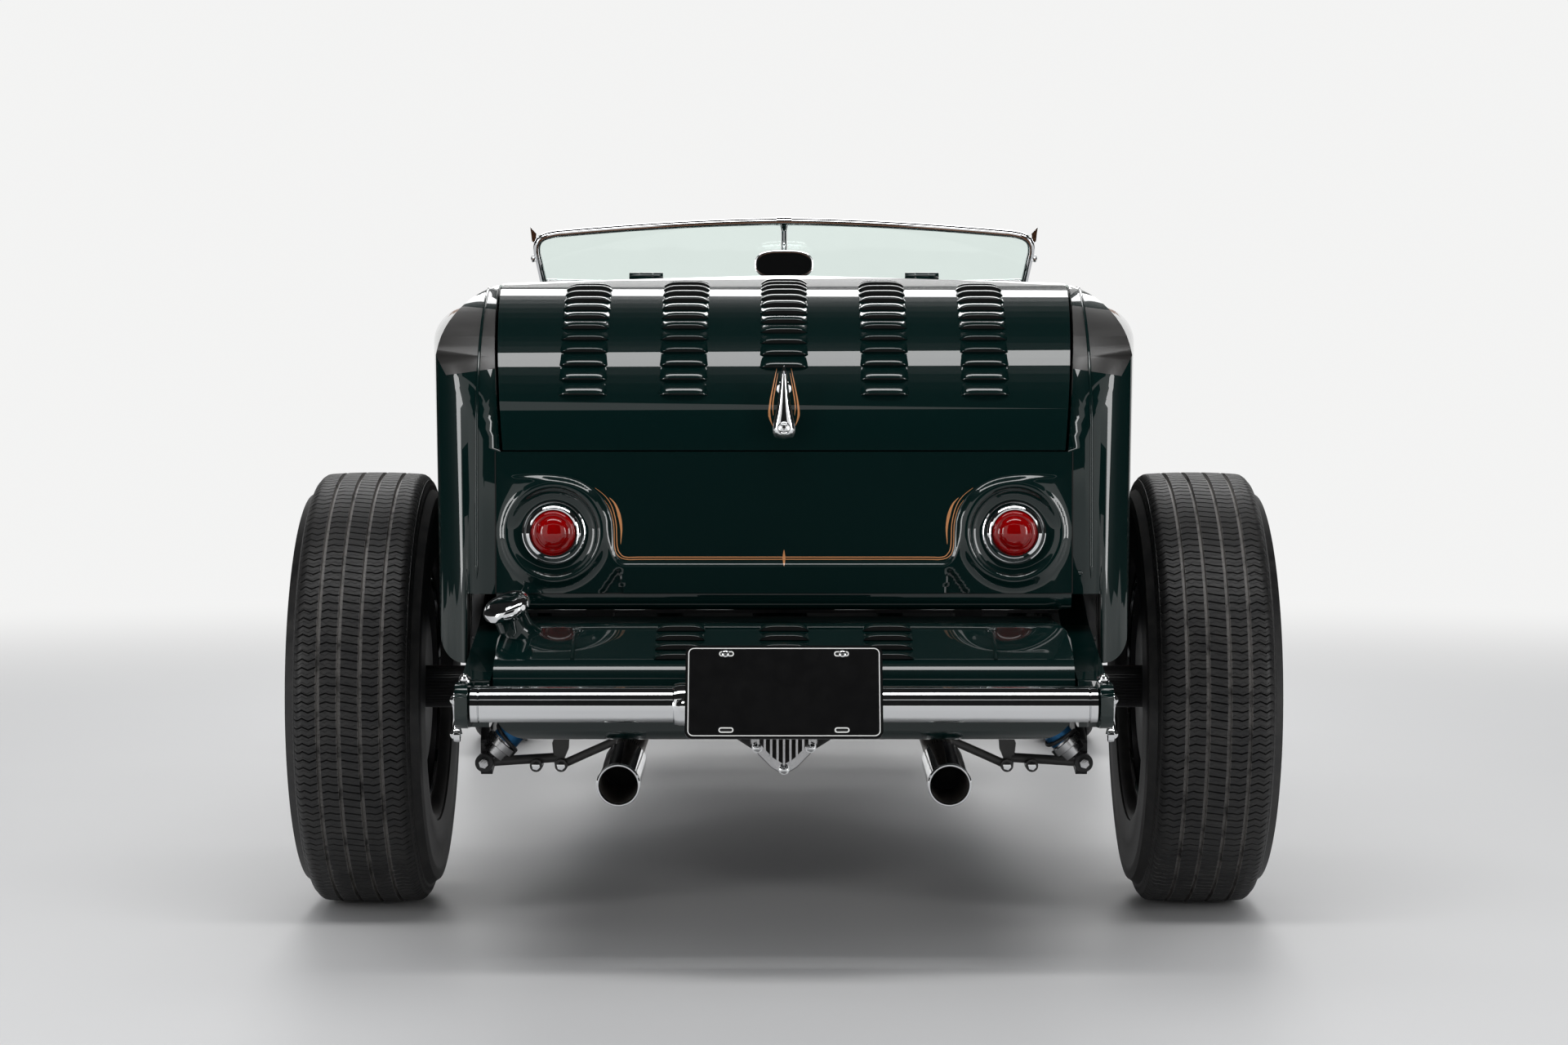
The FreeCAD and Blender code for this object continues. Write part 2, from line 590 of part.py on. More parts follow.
def make_horn_links():
    """Bright dog-bone link and domed bolt outside each rear horn."""
    x0 = HORN_OUTER_X
    y = REAR_SPREADER_Y + 55
    link = fused(rod(vec(x0, y, 434), vec(x0 + 14, y, 434), 13),
                 rod(vec(x0, y, 380), vec(x0 + 14, y, 380), 13),
                 box(x0 + 2, x0 + 12, y - 6, y + 6, 380, 434))
    return pair(link)


# ---- Tank, filler and plate -----------------------------------------------------
TANK_REAR_Y = -740.0
TANK_FRONT_Y = -420.0
TANK_BOTTOM_Z = 368.0
TANK_TOP_Z = 545.0
TANK_SIDE_GAP = 3.5
TANK_HALF = HORN_OUTER_X - RAIL_THICKNESS - TANK_SIDE_GAP
FILLER_X = -441.0
FILLER_Y = -640.0
FILLER_CAP_RADIUS = 39.0


def make_fuel_tank():
    side = plate_yz([(TANK_REAR_Y, TANK_BOTTOM_Z, 35), (TANK_REAR_Y, TANK_TOP_Z - 62, 50),
                     (TANK_REAR_Y + 130, TANK_TOP_Z, 70), (TANK_FRONT_Y, TANK_TOP_Z, 20),
                     (TANK_FRONT_Y, TANK_BOTTOM_Z, 20)], -TANK_HALF, TANK_HALF)
    front = plate_xz(both_halves([(TANK_HALF, TANK_BOTTOM_Z, 60), (TANK_HALF, TANK_TOP_Z, 24)]),
                     TANK_REAR_Y - 10, TANK_FRONT_Y + 10)
    return side.common(front)


def make_fuel_filler():
    """Neck and cap at the tank's left end, leaning out and back."""
    lean = vec(-0.16, -0.22, 1.0).normalize()
    foot = vec(FILLER_X + 12, FILLER_Y + 22, TANK_TOP_Z - 34)
    neck_top = foot.add(lean * 74)
    neck = rod(foot, neck_top, 27)
    cap = rod(neck_top, neck_top.add(lean * 18), FILLER_CAP_RADIUS)
    return fused(neck, cap).cut(make_fuel_tank()).cut(RAIL_LEFT)


RAIL_LEFT = mirrored(RAIL_RIGHT)
PLATE_CENTRE = vec(0, PLATE_Y, 457)
PLATE_HOLE_RADIUS = 3.5
PLATE_HOLE_SPACING = 177.8


def make_number_plate():
    """Blank plate leaning forward at the top, on a bracket clamped to the spreader tube."""
    half = PLATE_WIDTH / 2
    tall = PLATE_HEIGHT / 2
    plate = plate_xz([(-half, -tall, 10), (half, -tall, 10), (half, tall, 10), (-half, tall, 10)],
                     -PLATE_THICKNESS, 0)
    for sign_x in (-1, 1):
        for sign_z in (-1, 1):
            x = sign_x * PLATE_HOLE_SPACING / 2
            z = sign_z * (tall - 14)
            hole = rod(vec(x, -20, z), vec(x, 20, z), PLATE_HOLE_RADIUS)
            plate = plate.cut(hole)
    plate.rotate(vec(0, 0, 0), vec(1, 0, 0), -PLATE_LEAN)
    plate.translate(PLATE_CENTRE)
    bracket = plate_yz([(PLATE_CENTRE.y + 4, PLATE_CENTRE.z + 20, 0), (REAR_SPREADER_Y, REAR_SPREADER_Z + 20, 0),
                        (REAR_SPREADER_Y, REAR_SPREADER_Z - 20, 0), (PLATE_CENTRE.y - 12, PLATE_CENTRE.z - 30, 0)],
                       -45, 45)
    tube_space = rod(vec(-60, REAR_SPREADER_Y, REAR_SPREADER_Z), vec(60, REAR_SPREADER_Y, REAR_SPREADER_Z),
                     SPREADER_RADIUS)
    return fused(plate, bracket).cut(tube_space)


# ---- Tail lamps and handle --------------------------------------------------------
TAIL_LAMP_X = 379.0
TAIL_LAMP_Z = 688.0
TAIL_LENS_RADIUS = 36.0
TAIL_RING_RADIUS = 51.0


def make_tail_lamp_bezels():
    outline = [(0, TAIL_LENS_RADIUS + SEAT_CLEARANCE, 0), (0, TAIL_RING_RADIUS, 0),
               (8, TAIL_RING_RADIUS, 3), (18, TAIL_LENS_RADIUS + 5, 3), (18, TAIL_LENS_RADIUS + SEAT_CLEARANCE, 0)]
    return pair(turned(outline, vec(TAIL_LAMP_X, TAIL_Y, TAIL_LAMP_Z), vec(0, -1, 0), vec(1, 0, 0)))


def make_tail_lamp_lenses():
    outline = [(0, 0, 0), (0, TAIL_LENS_RADIUS, 0), (12, TAIL_LENS_RADIUS, 8), (34, 14, 20), (34, 0, 0)]
    return pair(turned(outline, vec(TAIL_LAMP_X, TAIL_Y, TAIL_LAMP_Z), vec(0, -1, 0), vec(1, 0, 0)))


def make_deck_handle():
    """Teardrop handle standing off the lid on two posts."""
    outline = [(0, 962, 4), (-17, 880, 20), (-19, 858, 12), (0, 845, 18), (19, 858, 12), (17, 880, 20)]
    grip = plate_xz(outline, TAIL_Y - 34, TAIL_Y - 16)
    posts = [rod(vec(0, TAIL_Y - 20, z), vec(0, TAIL_Y + 20, z), 8) for z in (866.0, 925.0)]
    return fused(grip, *posts).cut(OUTER)


# ---- Windshield ---------------------------------------------------------------------
WS_TOP_CORNER = vec(551, 1290, 1261)
WS_TOP_MIDDLE = vec(0, 1400, 1302)
WS_RAKE = vec(0, 0.5, -1)
WS_TUBE = 8.0
WS_GLASS = 6.0
WS_SIDE_DROP = 98.0
WS_MIDDLE_DROP = 142.0


def windshield_corners():
    """Top corner, top middle, middle foot and side foot of the right pane, all in one plane."""
    across = WS_TOP_MIDDLE.sub(WS_TOP_CORNER)
    side_foot = WS_TOP_CORNER.add(WS_RAKE * WS_SIDE_DROP).add(across * 0.04)
    middle_foot = WS_TOP_MIDDLE.add(WS_RAKE * WS_MIDDLE_DROP)
    return WS_TOP_CORNER, WS_TOP_MIDDLE, middle_foot, side_foot


def make_windshield_frame():
    """Two raked frames that meet at a centre post, on feet that stand on the cowl."""
    corner, middle, middle_foot, side_foot = windshield_corners()
    half = [rod(corner, middle, WS_TUBE), rod(side_foot, middle_foot, WS_TUBE), rod(corner, side_foot, WS_TUBE + 2)]
    half += [Part.makeSphere(WS_TUBE + 2, corner), Part.makeSphere(WS_TUBE + 2, side_foot)]
    foot = rod(side_foot, side_foot.add(WS_RAKE * 60), WS_TUBE + 4)
    half.append(foot)
    pieces = half + [mirrored(piece) for piece in half]
    pieces += [rod(middle, middle_foot, WS_TUBE), Part.makeSphere(WS_TUBE, middle),
               rod(middle_foot, middle_foot.add(WS_RAKE * 60), WS_TUBE + 4)]
    return fused(*pieces).cut(OUTER)


def make_windshield_glass():
    corner, middle, middle_foot, side_foot = windshield_corners()
    outline = [corner, middle, middle_foot, side_foot]
    centre = vec(0, 0, 0)
    for point in outline:
        centre = centre.add(point * 0.25)
    normal = middle.sub(corner).cross(middle_foot.sub(corner)).normalize()
    inset = []
    count = len(outline)
    clearance = WS_TUBE + 2 + SEAT_CLEARANCE
    for i, point in enumerate(outline):
        back = outline[i - 1].sub(point).normalize()
        ahead = outline[(i + 1) % count].sub(point).normalize()
        reach = clearance / math.sin(back.getAngle(ahead))
        inset.append(point.add(back * reach).add(ahead * reach))
    wire = Part.makePolygon(inset + [inset[0]])
    pane = Part.Face(wire).extrude(normal * WS_GLASS)
    pane.translate(normal * (-WS_GLASS / 2))
    return pair(pane)


def make_mirror():
    """Oval inside mirror hung behind the centre post."""
    y = 1402.0
    z = 1205.0
    half = [(66, z - 32, 31), (66, z + 32, 31)]
    glass = plate_xz(both_halves(half), y, y + 14)
    arm = rod(vec(0, y + 10, z), vec(0, y + 70, z + 8), 6)
    return fused(glass, arm).cut(make_windshield_frame())


# ---- Inside the cabin -------------------------------------------------------------------
SEAT_HALF = 520.0


def make_seat_back():
    z0 = KICK_FLOOR_Z + SEAT_CLEARANCE
    y0 = COCKPIT_REAR_Y + SEAT_CLEARANCE
    outline = [(y0, z0, 10), (y0 + 205, z0, 20), (y0 + 150, 1050, 45), (y0, 1050, 40)]
    return plate_yz(outline, -SEAT_HALF, SEAT_HALF)


def make_seat_cushion():
    z0 = FLOOR_Z + SEAT_CLEARANCE
    y0 = KICK_FRONT_Y + 8
    outline = [(y0, z0, 10), (y0 + 520, z0, 10), (y0 + 530, 690, 50), (y0, 650, 30)]
    return plate_yz(outline, -SEAT_HALF, SEAT_HALF)


def make_dash():
    space = body_form(BODY_WALL + SEAT_CLEARANCE)
    return space.common(box(-900, 900, DASH_Y - 2, DASH_Y + 26, 955, 1400))


STEERING_X = -330.0
STEERING_HUB = vec(STEERING_X, 960, 960)
STEERING_SLOPE = vec(0, 600, -360).normalize()
STEERING_RIM_RADIUS = 180.0
STEERING_RIM_TUBE = 12.0
COLUMN_RADIUS = 19.0
STEERING_SHAFT = 9.0


def make_steering_column():
    start = STEERING_HUB.add(STEERING_SLOPE * 30)
    end = start.add(STEERING_SLOPE * 900)
    jacket = rod(start, end, COLUMN_RADIUS)
    shaft = rod(STEERING_HUB.sub(STEERING_SLOPE * 8), start.add(STEERING_SLOPE * 20), STEERING_SHAFT)
    drop = box(STEERING_X - 22, STEERING_X + 22, DASH_Y, DASH_Y + 20, 800, 955)
    beyond = box(-900, 900, FIREWALL_Y - BODY_WALL, FIREWALL_Y + 900, 0, 1400)
    return fused(jacket, shaft, drop).cut(beyond)


def make_steering_wheel():
    rim = Part.makeTorus(STEERING_RIM_RADIUS, STEERING_RIM_TUBE, STEERING_HUB, STEERING_SLOPE)
    hub = rod(STEERING_HUB.sub(STEERING_SLOPE * 20), STEERING_HUB.add(STEERING_SLOPE * 24), 32)
    up = STEERING_SLOPE.cross(vec(1, 0, 0)).normalize()
    side = vec(1, 0, 0)
    spokes = []
    for angle in (-90.0, 30.0, 150.0):
        turn = math.radians(angle)
        away = side * math.cos(turn) + up * math.sin(turn)
        spokes.append(rod(STEERING_HUB.add(away * 20), STEERING_HUB.add(away * STEERING_RIM_RADIUS), 8))
    bore = rod(STEERING_HUB.sub(STEERING_SLOPE * 9), STEERING_HUB.add(STEERING_SLOPE * 40),
               STEERING_SHAFT + RUNNING_FIT)
    return fused(rim, hub, *spokes).cut(bore)


# ---- Wheels and tyres ------------------------------------------------------------------------
SPINDLE_REAR = 20.0
SPINDLE_FRONT = 14.0
RIM_HALF = {"rear": 92.0, "front": 70.0}
DRUM_RADIUS = {"rear": 145.0, "front": 140.0}
RIM_FLANGE = 14.0
RIM_FLANGE_WIDTH = 6.0


def make_tyre(size, x, y, end):
    """Hollow tyre, its sidewalls bulging between bead and shoulder."""
    centre = vec(x, y, size["radius"])
    bead = size["rim"] + BEAD_CLEARANCE
    half = size["half_width"]
    tread = size["tread_half"]
    outer_r = size["radius"]
    bead_half = RIM_HALF[end] - RIM_FLANGE_WIDTH - BEAD_CLEARANCE
    bead_top = size["rim"] + RIM_FLANGE + BEAD_CLEARANCE
    wall = TYRE_WALL

    def at(a, r):
        return centre + vec(a, 0, r)

    edges = []
    shoulder_r = outer_r - 22
    bulge_r = (bead + shoulder_r) / 2 + 6
    for side in (1, -1):
        outer = Part.Arc(at(side * bead_half, bead_top), at(side * half, bulge_r), at(side * (tread + 14), shoulder_r))
        inner = Part.Arc(at(side * (bead_half - wall), bead), at(side * (half - wall), bulge_r),
                         at(side * (tread - 2), shoulder_r - wall * 0.6))
        heel = Part.LineSegment(at(side * bead_half, bead), at(side * bead_half, bead_top))
        shoulder = Part.Arc(at(side * (tread + 14), shoulder_r), at(side * (tread + 8), outer_r - 9),
                            at(side * tread, outer_r - 3))
        foot = Part.LineSegment(at(side * bead_half, bead), at(side * (bead_half - wall), bead))
        edges += [curve.toShape() for curve in (outer, inner, heel, shoulder, foot)]
    crown = Part.Arc(at(-tread, outer_r - 3), at(0, outer_r), at(tread, outer_r - 3))
    ceiling = Part.LineSegment(at(-(tread - 2), shoulder_r - wall * 0.6), at(tread - 2, shoulder_r - wall * 0.6))
    edges += [crown.toShape(), ceiling.toShape()]
    wire = Part.Wire(Part.__sortEdges__(edges))
    return Part.Face(wire).revolve(centre, vec(1, 0, 0), 360)


def make_wheel(size, x, y, end, spindle):
    """Rim, dished disc, hub, brake drum and domed cap in one turned piece; +a is outboard."""
    centre = vec(x, y, size["radius"])
    rim = size["rim"]
    half = RIM_HALF[end]
    drum = DRUM_RADIUS[end]
    flange = rim + RIM_FLANGE
    lip = RIM_FLANGE_WIDTH
    well = rim - 20
    steel = 5.0
    outline = [
        (-half, flange, 2), (-half + lip, flange, 2), (-half + lip, rim, 0), (-half * 0.45, rim, 6),
        (-half * 0.3, well, 6), (half * 0.3, well, 6), (half * 0.45, rim, 6), (half - lip, rim, 0),
        (half - lip, flange, 2), (half, flange, 2), (half, rim - steel, 3), (half * 0.5, rim - steel, 6),
        (half * 0.34, well - steel, 4), (14, well - steel - 8, 8), (24, rim * 0.62, 12), (10, 100, 10),
        (14, 82, 4), (36, 78, 20), (52, 30, 30), (54, 0, 0), (30, 0, 0), (30, spindle + RUNNING_FIT, 0),
        (-half + 22, spindle + RUNNING_FIT, 0), (-half + 22, drum - 10, 4), (-half + 26, drum, 4),
        (-2, drum, 6), (0, well - steel - 12, 6), (-half * 0.34, well - steel, 4),
        (-half * 0.5, rim - steel, 6), (-half, rim - steel, 3),
    ]
    outboard = vec(1, 0, 0)
    return turned(outline, centre, outboard, vec(0, 0, 1))


# ---- Rear axle ------------------------------------------------------------------------------------
CENTRE_RADIUS = 118.0
PINION_NOSE_Y = 320.0
COVER_HALF = 60.5
COVER_REAR_Y = -300.0
BACKING_GAP = 6.0
COIL_FOOT = vec(528, -143, 266)
COIL_RADIUS = 30.0


def make_rear_axle():
    """Tube with a round centre, backing plates, spindles and coil-over brackets."""
    z = REAR_AXLE_Z
    drum_inner = REAR_WHEEL_X - RIM_HALF["rear"] + 22
    plate_x = drum_inner - BACKING_GAP
    tube_part = rod(vec(-plate_x, 0, z), vec(plate_x, 0, z), AXLE_TUBE_RADIUS)
    centre = turned([(-92, 0, 0), (-92, CENTRE_RADIUS - 26, 20), (-50, CENTRE_RADIUS, 20),
                     (50, CENTRE_RADIUS, 20), (92, CENTRE_RADIUS - 26, 20), (92, 0, 0)],
                    vec(0, 0, z), vec(1, 0, 0), vec(0, 0, 1))
    nose = rod(vec(0, 60, z), vec(0, PINION_NOSE_Y, z), 52)
    pieces = [tube_part, centre, nose]
    for sign in (-1, 1):
        a = sign * (plate_x - 8)
        b = sign * plate_x
        c = sign * (REAR_WHEEL_X + 28)
        pieces.append(rod(vec(a, 0, z), vec(b, 0, z), DRUM_RADIUS["rear"]))
        pieces.append(rod(vec(b, 0, z), vec(c, 0, z), SPINDLE_REAR))
        x = sign * COIL_FOOT.x
        pieces.append(plate_yz([(-118, 238, 10), (-118, 300, 10), (-30, 424, 10), (30, 424, 10), (30, 340, 10),
                                (-60, 250, 20)], x - 10, x + 10))
    return fused(*pieces)


def make_quick_change_cover():
    """Oblong cover on the back of the axle centre, pointed at the bottom."""
    outline = [(0, 256, 0)] + both_halves([(COVER_HALF, 318, 30), (COVER_HALF, 470, 30)])
    cover = plate_xz(outline, COVER_REAR_Y, -CENTRE_RADIUS + 40)
    centre_space = make_rear_axle()
    return cover.cut(centre_space)


def make_coil_overs():
    """Damper and spring as one round body between a foot eye and a top eye."""
    top = vec(COIL_TOP_X, COIL_FOOT.y, COIL_TOP_Z)
    along = top.sub(COIL_FOOT).normalize()
    y0 = COIL_FOOT.y - 25
    y1 = COIL_FOOT.y + 25
    pieces = [rod(vec(COIL_FOOT.x, y0, COIL_FOOT.z), vec(COIL_FOOT.x, y1, COIL_FOOT.z), 16.5),
              rod(vec(top.x, y0, top.z), vec(top.x, y1, top.z), 16.5),
              rod(COIL_FOOT, top, 9),
              rod(COIL_FOOT.add(along * 40), top.sub(along * 36), COIL_RADIUS)]
    return pair(fused(*pieces))


# ---- Rods that place the axles -------------------------------------------------------------------
REAR_ROD_X = 440.0
HAIRPIN_X = 470.0
HAIRPIN_PIVOT_Y = WHEELBASE - 842
HAIRPIN_PIVOT_X = 452.0
ROD_RADIUS = 13.0


def make_suspension_rods():
    """Rear ladder rods and front hairpin rods, each ending in an eye on the rail."""
    pivot_y = CENTRE_MEMBER_Y - 60
    inner = rail_inner(pivot_y)
    clamp = box(REAR_ROD_X - 16, REAR_ROD_X + 16, -58, 62, REAR_AXLE_Z - 66, REAR_AXLE_Z + 66)
    rear = fused(clamp,
                 rod(vec(REAR_ROD_X, 40, REAR_AXLE_Z - 48), vec(inner - 14, pivot_y, 356), ROD_RADIUS),
                 rod(vec(REAR_ROD_X, 40, REAR_AXLE_Z + 48), vec(inner - 14, pivot_y, 404), ROD_RADIUS),
                 box(inner - 30, inner + 6, pivot_y - 22, pivot_y + 22, 338, 424))
    rear = rear.cut(RAIL_RIGHT).cut(rod(vec(0, 0, REAR_AXLE_Z), vec(600, 0, REAR_AXLE_Z), AXLE_TUBE_RADIUS))
    pivot = vec(HAIRPIN_PIVOT_X, HAIRPIN_PIVOT_Y, 385)
    axle_y = WHEELBASE
    front = fused(rod(vec(HAIRPIN_X, axle_y, 332), pivot, 11), rod(vec(HAIRPIN_X, axle_y, 268), pivot, 11),
                  rod(vec(HAIRPIN_PIVOT_X - 30, HAIRPIN_PIVOT_Y, 385), vec(HAIRPIN_PIVOT_X + 18, HAIRPIN_PIVOT_Y, 385), 20))
    front = front.cut(RAIL_RIGHT).cut(make_front_axle())
    return Part.makeCompound([rear, mirrored(rear), front, mirrored(front)])


# ---- Front axle and steering ---------------------------------------------------------------------
KINGPIN_X = 600.0
BOSS_RADIUS = 24.0
BOSS_LOW_Z = FRONT_AXLE_Z - 38
BOSS_HIGH_Z = FRONT_AXLE_Z + 38
KINGPIN_RADIUS = 11.0
BEAM_HALF = 25.0
EAR_PLAY = 0.5
EAR_HEIGHT = 16.0
ARM_LENGTH = 130.0
TIE_ROD_Z = 250.0
TIE_ROD_RADIUS = 11.0
BALL_PIN_RADIUS = 6.0
TIE_EYE_RADIUS = 15.0


def make_front_axle():
    """Dropped beam with a bored boss at each end for the kingpin."""
    low = FRONT_AXLE_Z - 32
    high = FRONT_AXLE_Z + 28
    beam = plate_xz([(-KINGPIN_X, low, 0), (-540, low, 60), (-430, 264, 80), (430, 264, 80), (540, low, 60),
                     (KINGPIN_X, low, 0), (KINGPIN_X, high, 0), (550, high, 40), (450, 312, 80),
                     (-450, 312, 80), (-550, high, 40), (-KINGPIN_X, high, 0)],
                    WHEELBASE - BEAM_HALF, WHEELBASE + BEAM_HALF)
    bosses = []
    bores = []
    for sign in (-1, 1):
        x = sign * KINGPIN_X
        bosses.append(rod(vec(x, WHEELBASE, BOSS_LOW_Z), vec(x, WHEELBASE, BOSS_HIGH_Z), BOSS_RADIUS))
        bores.append(rod(vec(x, WHEELBASE, BOSS_LOW_Z - 5), vec(x, WHEELBASE, BOSS_HIGH_Z + 5),
                         KINGPIN_RADIUS + RUNNING_FIT))
        # beyond the kingpin's line the beam is no wider than its boss
        outside = box(min(x, x + sign * 50), max(x, x + sign * 50), WHEELBASE - 60, WHEELBASE + 60, 0, 500)
        beam = beam.cut(outside)
    axle = fused(beam, *bosses)
    for bore in bores:
        axle = axle.cut(bore)
    return axle


def make_front_spring():
    """Crosswise leaf spring, its top clamped under the front crossmember."""
    outline = [(-430, 342, 0), (-60, 398, 300), (60, 398, 300), (430, 342, 0),
               (430, 356, 0), (70, 430, 200), (-70, 430, 200), (-430, 356, 0)]
    leaf = plate_xz(outline, WHEELBASE - 22, WHEELBASE + 22)
    shackles = [box(sign * 430 - 12, sign * 430 + 12, WHEELBASE - 14, WHEELBASE + 14, 300, 352) for sign in (-1, 1)]
    return fused(leaf, *shackles).cut(make_front_axle())


def make_knuckle():
    """Right yoke with its kingpin, wheel spindle and steering arm."""
    x = KINGPIN_X
    y = WHEELBASE
    low_top = BOSS_LOW_Z - EAR_PLAY
    high_bottom = BOSS_HIGH_Z + EAR_PLAY
    plate_x = x + BOSS_RADIUS + 7
    pin = rod(vec(x, y, low_top - EAR_HEIGHT), vec(x, y, high_bottom + EAR_HEIGHT), KINGPIN_RADIUS)
    pieces = [pin]
    for z0 in (low_top - EAR_HEIGHT, high_bottom):
        pieces.append(rod(vec(x, y, z0), vec(x, y, z0 + EAR_HEIGHT), BOSS_RADIUS - 2))
        pieces.append(box(x, plate_x + 12, y - 20, y + 20, z0, z0 + EAR_HEIGHT))
    pieces.append(box(plate_x, plate_x + 12, y - 24, y + 24, low_top - EAR_HEIGHT, high_bottom + EAR_HEIGHT))
    pieces.append(rod(vec(plate_x, y, FRONT_AXLE_Z), vec(FRONT_WHEEL_X + 28, y, FRONT_AXLE_Z), SPINDLE_FRONT))
    backing_x = FRONT_WHEEL_X - RIM_HALF["front"] + 22 - BACKING_GAP
    pieces.append(rod(vec(backing_x - 7, y, FRONT_AXLE_Z), vec(backing_x, y, FRONT_AXLE_Z), DRUM_RADIUS["front"]))
    pieces.append(rod(vec(plate_x, y, FRONT_AXLE_Z), vec(backing_x, y, FRONT_AXLE_Z), 40))
    arm_z = low_top - EAR_HEIGHT / 2
    arm_end = vec(x, y - ARM_LENGTH, TIE_ROD_Z + 27)
    pieces.append(rod(vec(x, y, arm_z), arm_end, 9))
    pieces.append(rod(arm_end - vec(0, 0, 11), arm_end + vec(0, 0, 9), 14))
    pieces.append(rod(vec(x, y - ARM_LENGTH, TIE_ROD_Z - 14), arm_end, BALL_PIN_RADIUS))
    return fused(*pieces)


def make_tie_rod():
    """Rod between the arms' ball pins: a close eye on the left, a freer one on the right."""
    y = WHEELBASE - ARM_LENGTH
    x = KINGPIN_X
    pieces = [rod(vec(-x, y, TIE_ROD_Z), vec(x, y, TIE_ROD_Z), TIE_ROD_RADIUS)]
    for sign in (-1, 1):
        pieces.append(rod(vec(sign * x, y, TIE_ROD_Z - 12), vec(sign * x, y, TIE_ROD_Z + 12), TIE_EYE_RADIUS))
    body = fused(*pieces)
    for side_x, fit in ((-x, RUNNING_FIT), (x, 0.6)):
        body = body.cut(rod(vec(side_x, y, TIE_ROD_Z - 20), vec(side_x, y, TIE_ROD_Z + 20), BALL_PIN_RADIUS + fit))
    return body


# ---- Engine and exhaust ---------------------------------------------------------------------------
ENGINE = {"half": 250.0, "y0": FIREWALL_Y + 50, "y1": SHELL_REAR_Y - 200, "z0": 380.0, "z1": 960.0}
GEARBOX_HALF = 130.0
MUFFLER_RADIUS = 58.0


def make_engine_block():
    """Engine and gearbox as one plain block at their real place and size."""
    e = ENGINE
    engine = box(-e["half"], e["half"], e["y0"], e["y1"], e["z0"], e["z1"])
    bottom = 395.0 + SEAT_CLEARANCE
    gearbox = box(-GEARBOX_HALF, GEARBOX_HALF, FIREWALL_Y - 80, e["y0"] + 10, bottom, BODY_BOTTOM_Z - 1)
    tail = rod(vec(0, PINION_NOSE_Y, REAR_AXLE_Z), vec(0, FIREWALL_Y - 70, 433), 36)
    tail = tail.cut(box(-90, 90, 0, PINION_NOSE_Y + SEAT_CLEARANCE, 300, 500))
    centre_member = box(-600, 600, CENTRE_MEMBER_Y - 1, CENTRE_MEMBER_Y + 61, CENTRE_MEMBER_Z, CENTRE_MEMBER_Z + 50)
    return fused(engine, gearbox, tail).cut(centre_member)


def make_exhausts():
    """Each side: down from the engine, a muffler, over the axle and out at the back."""
    route = [vec(263, -700, 295), vec(258, -440, 322), vec(214, -190, 458), vec(205, 40, 470),
             vec(212, 300, 360), vec(225, 520, 335), vec(230, 1200, 335), vec(230, 1400, 316),
             vec(228, 1740, 316), vec(222, 1860, 430)]
    pipe = tube(route, 25, 110)
    tip = rod(route[0], route[0].add((route[1] - route[0]).normalize() * 170), 33.5)
    hollow = rod(route[0].sub((route[1] - route[0]).normalize() * 5), route[0].add((route[1] - route[0]).normalize() * 110), 30.5)
    muffler = rod(vec(226, 560, 335), vec(229, 1120, 335), MUFFLER_RADIUS)
    hanger = box(215, 240, CENTRE_MEMBER_Y + 10, CENTRE_MEMBER_Y + 50, 380, CENTRE_MEMBER_Z)
    return pair(fused(pipe.cut(make_engine_block()), tip, muffler, hanger).cut(hollow))


# ---- All pieces ---------------------------------------------------------------------------------------
door_right = make_door()
knuckle_right = make_knuckle()
hood_left = make_hood_top_left()
rear_wheel = make_wheel(REAR_TYRE, REAR_WHEEL_X, 0, "rear", SPINDLE_REAR)
front_wheel = make_wheel(FRONT_TYRE, FRONT_WHEEL_X, WHEELBASE, "front", SPINDLE_FRONT)
rear_tyre = make_tyre(REAR_TYRE, REAR_WHEEL_X, 0, "rear")
front_tyre = make_tyre(FRONT_TYRE, FRONT_WHEEL_X, WHEELBASE, "front")

PIECES = {
    "body_tub": make_body_tub(),
    "deck_lid": make_deck_lid(),
    "deck_handle": make_deck_handle(),
    "door_right": door_right,
    "door_left": mirrored(door_right),
    "hood_top_left": hood_left,
    "hood_top_right": mirrored(hood_left),
    "hood_sides": make_hood_sides(),
    "grille_shell": make_grille_shell(),
    "grille_bars": make_grille_bars(),
    "radiator": make_radiator(),
    "headlamps": make_headlamps(),
    "headlamp_lenses": make_headlamp_lenses(),
    "chassis_rails": Part.makeCompound([RAIL_RIGHT, RAIL_LEFT]),
    "crossmembers": make_crossmembers(),
    "spreader_bars": make_spreader_bars(),
    "horn_links": make_horn_links(),
    "fuel_tank": make_fuel_tank(),
    "fuel_filler": make_fuel_filler(),
    "number_plate": make_number_plate(),
    "tail_lamp_bezels": make_tail_lamp_bezels(),
    "tail_lamp_lenses": make_tail_lamp_lenses(),
    "windshield_frame": make_windshield_frame(),
    "windshield_glass": make_windshield_glass(),
    "mirror": make_mirror(),
    "seat_back": make_seat_back(),
    "seat_cushion": make_seat_cushion(),
    "dash_panel": make_dash(),
    "steering_column": make_steering_column(),
    "steering_wheel": make_steering_wheel(),
    "rear_axle": make_rear_axle(),
    "quick_change_cover": make_quick_change_cover(),
    "coil_overs": make_coil_overs(),
    "suspension_rods": make_suspension_rods(),
    "front_axle": make_front_axle(),
    "front_spring": make_front_spring(),
    "knuckle_right": knuckle_right,
    "knuckle_left": mirrored(knuckle_right),
    "tie_rod": make_tie_rod(),
    "engine_block": make_engine_block(),
    "exhausts": make_exhausts(),
    "rear_wheel_right": rear_wheel,
    "rear_wheel_left": mirrored(rear_wheel),
    "rear_tyre_right": rear_tyre,
    "rear_tyre_left": mirrored(rear_tyre),
    "front_wheel_right": front_wheel,
    "front_wheel_left": mirrored(front_wheel),
    "front_tyre_right": front_tyre,
    "front_tyre_left": mirrored(front_tyre),
}

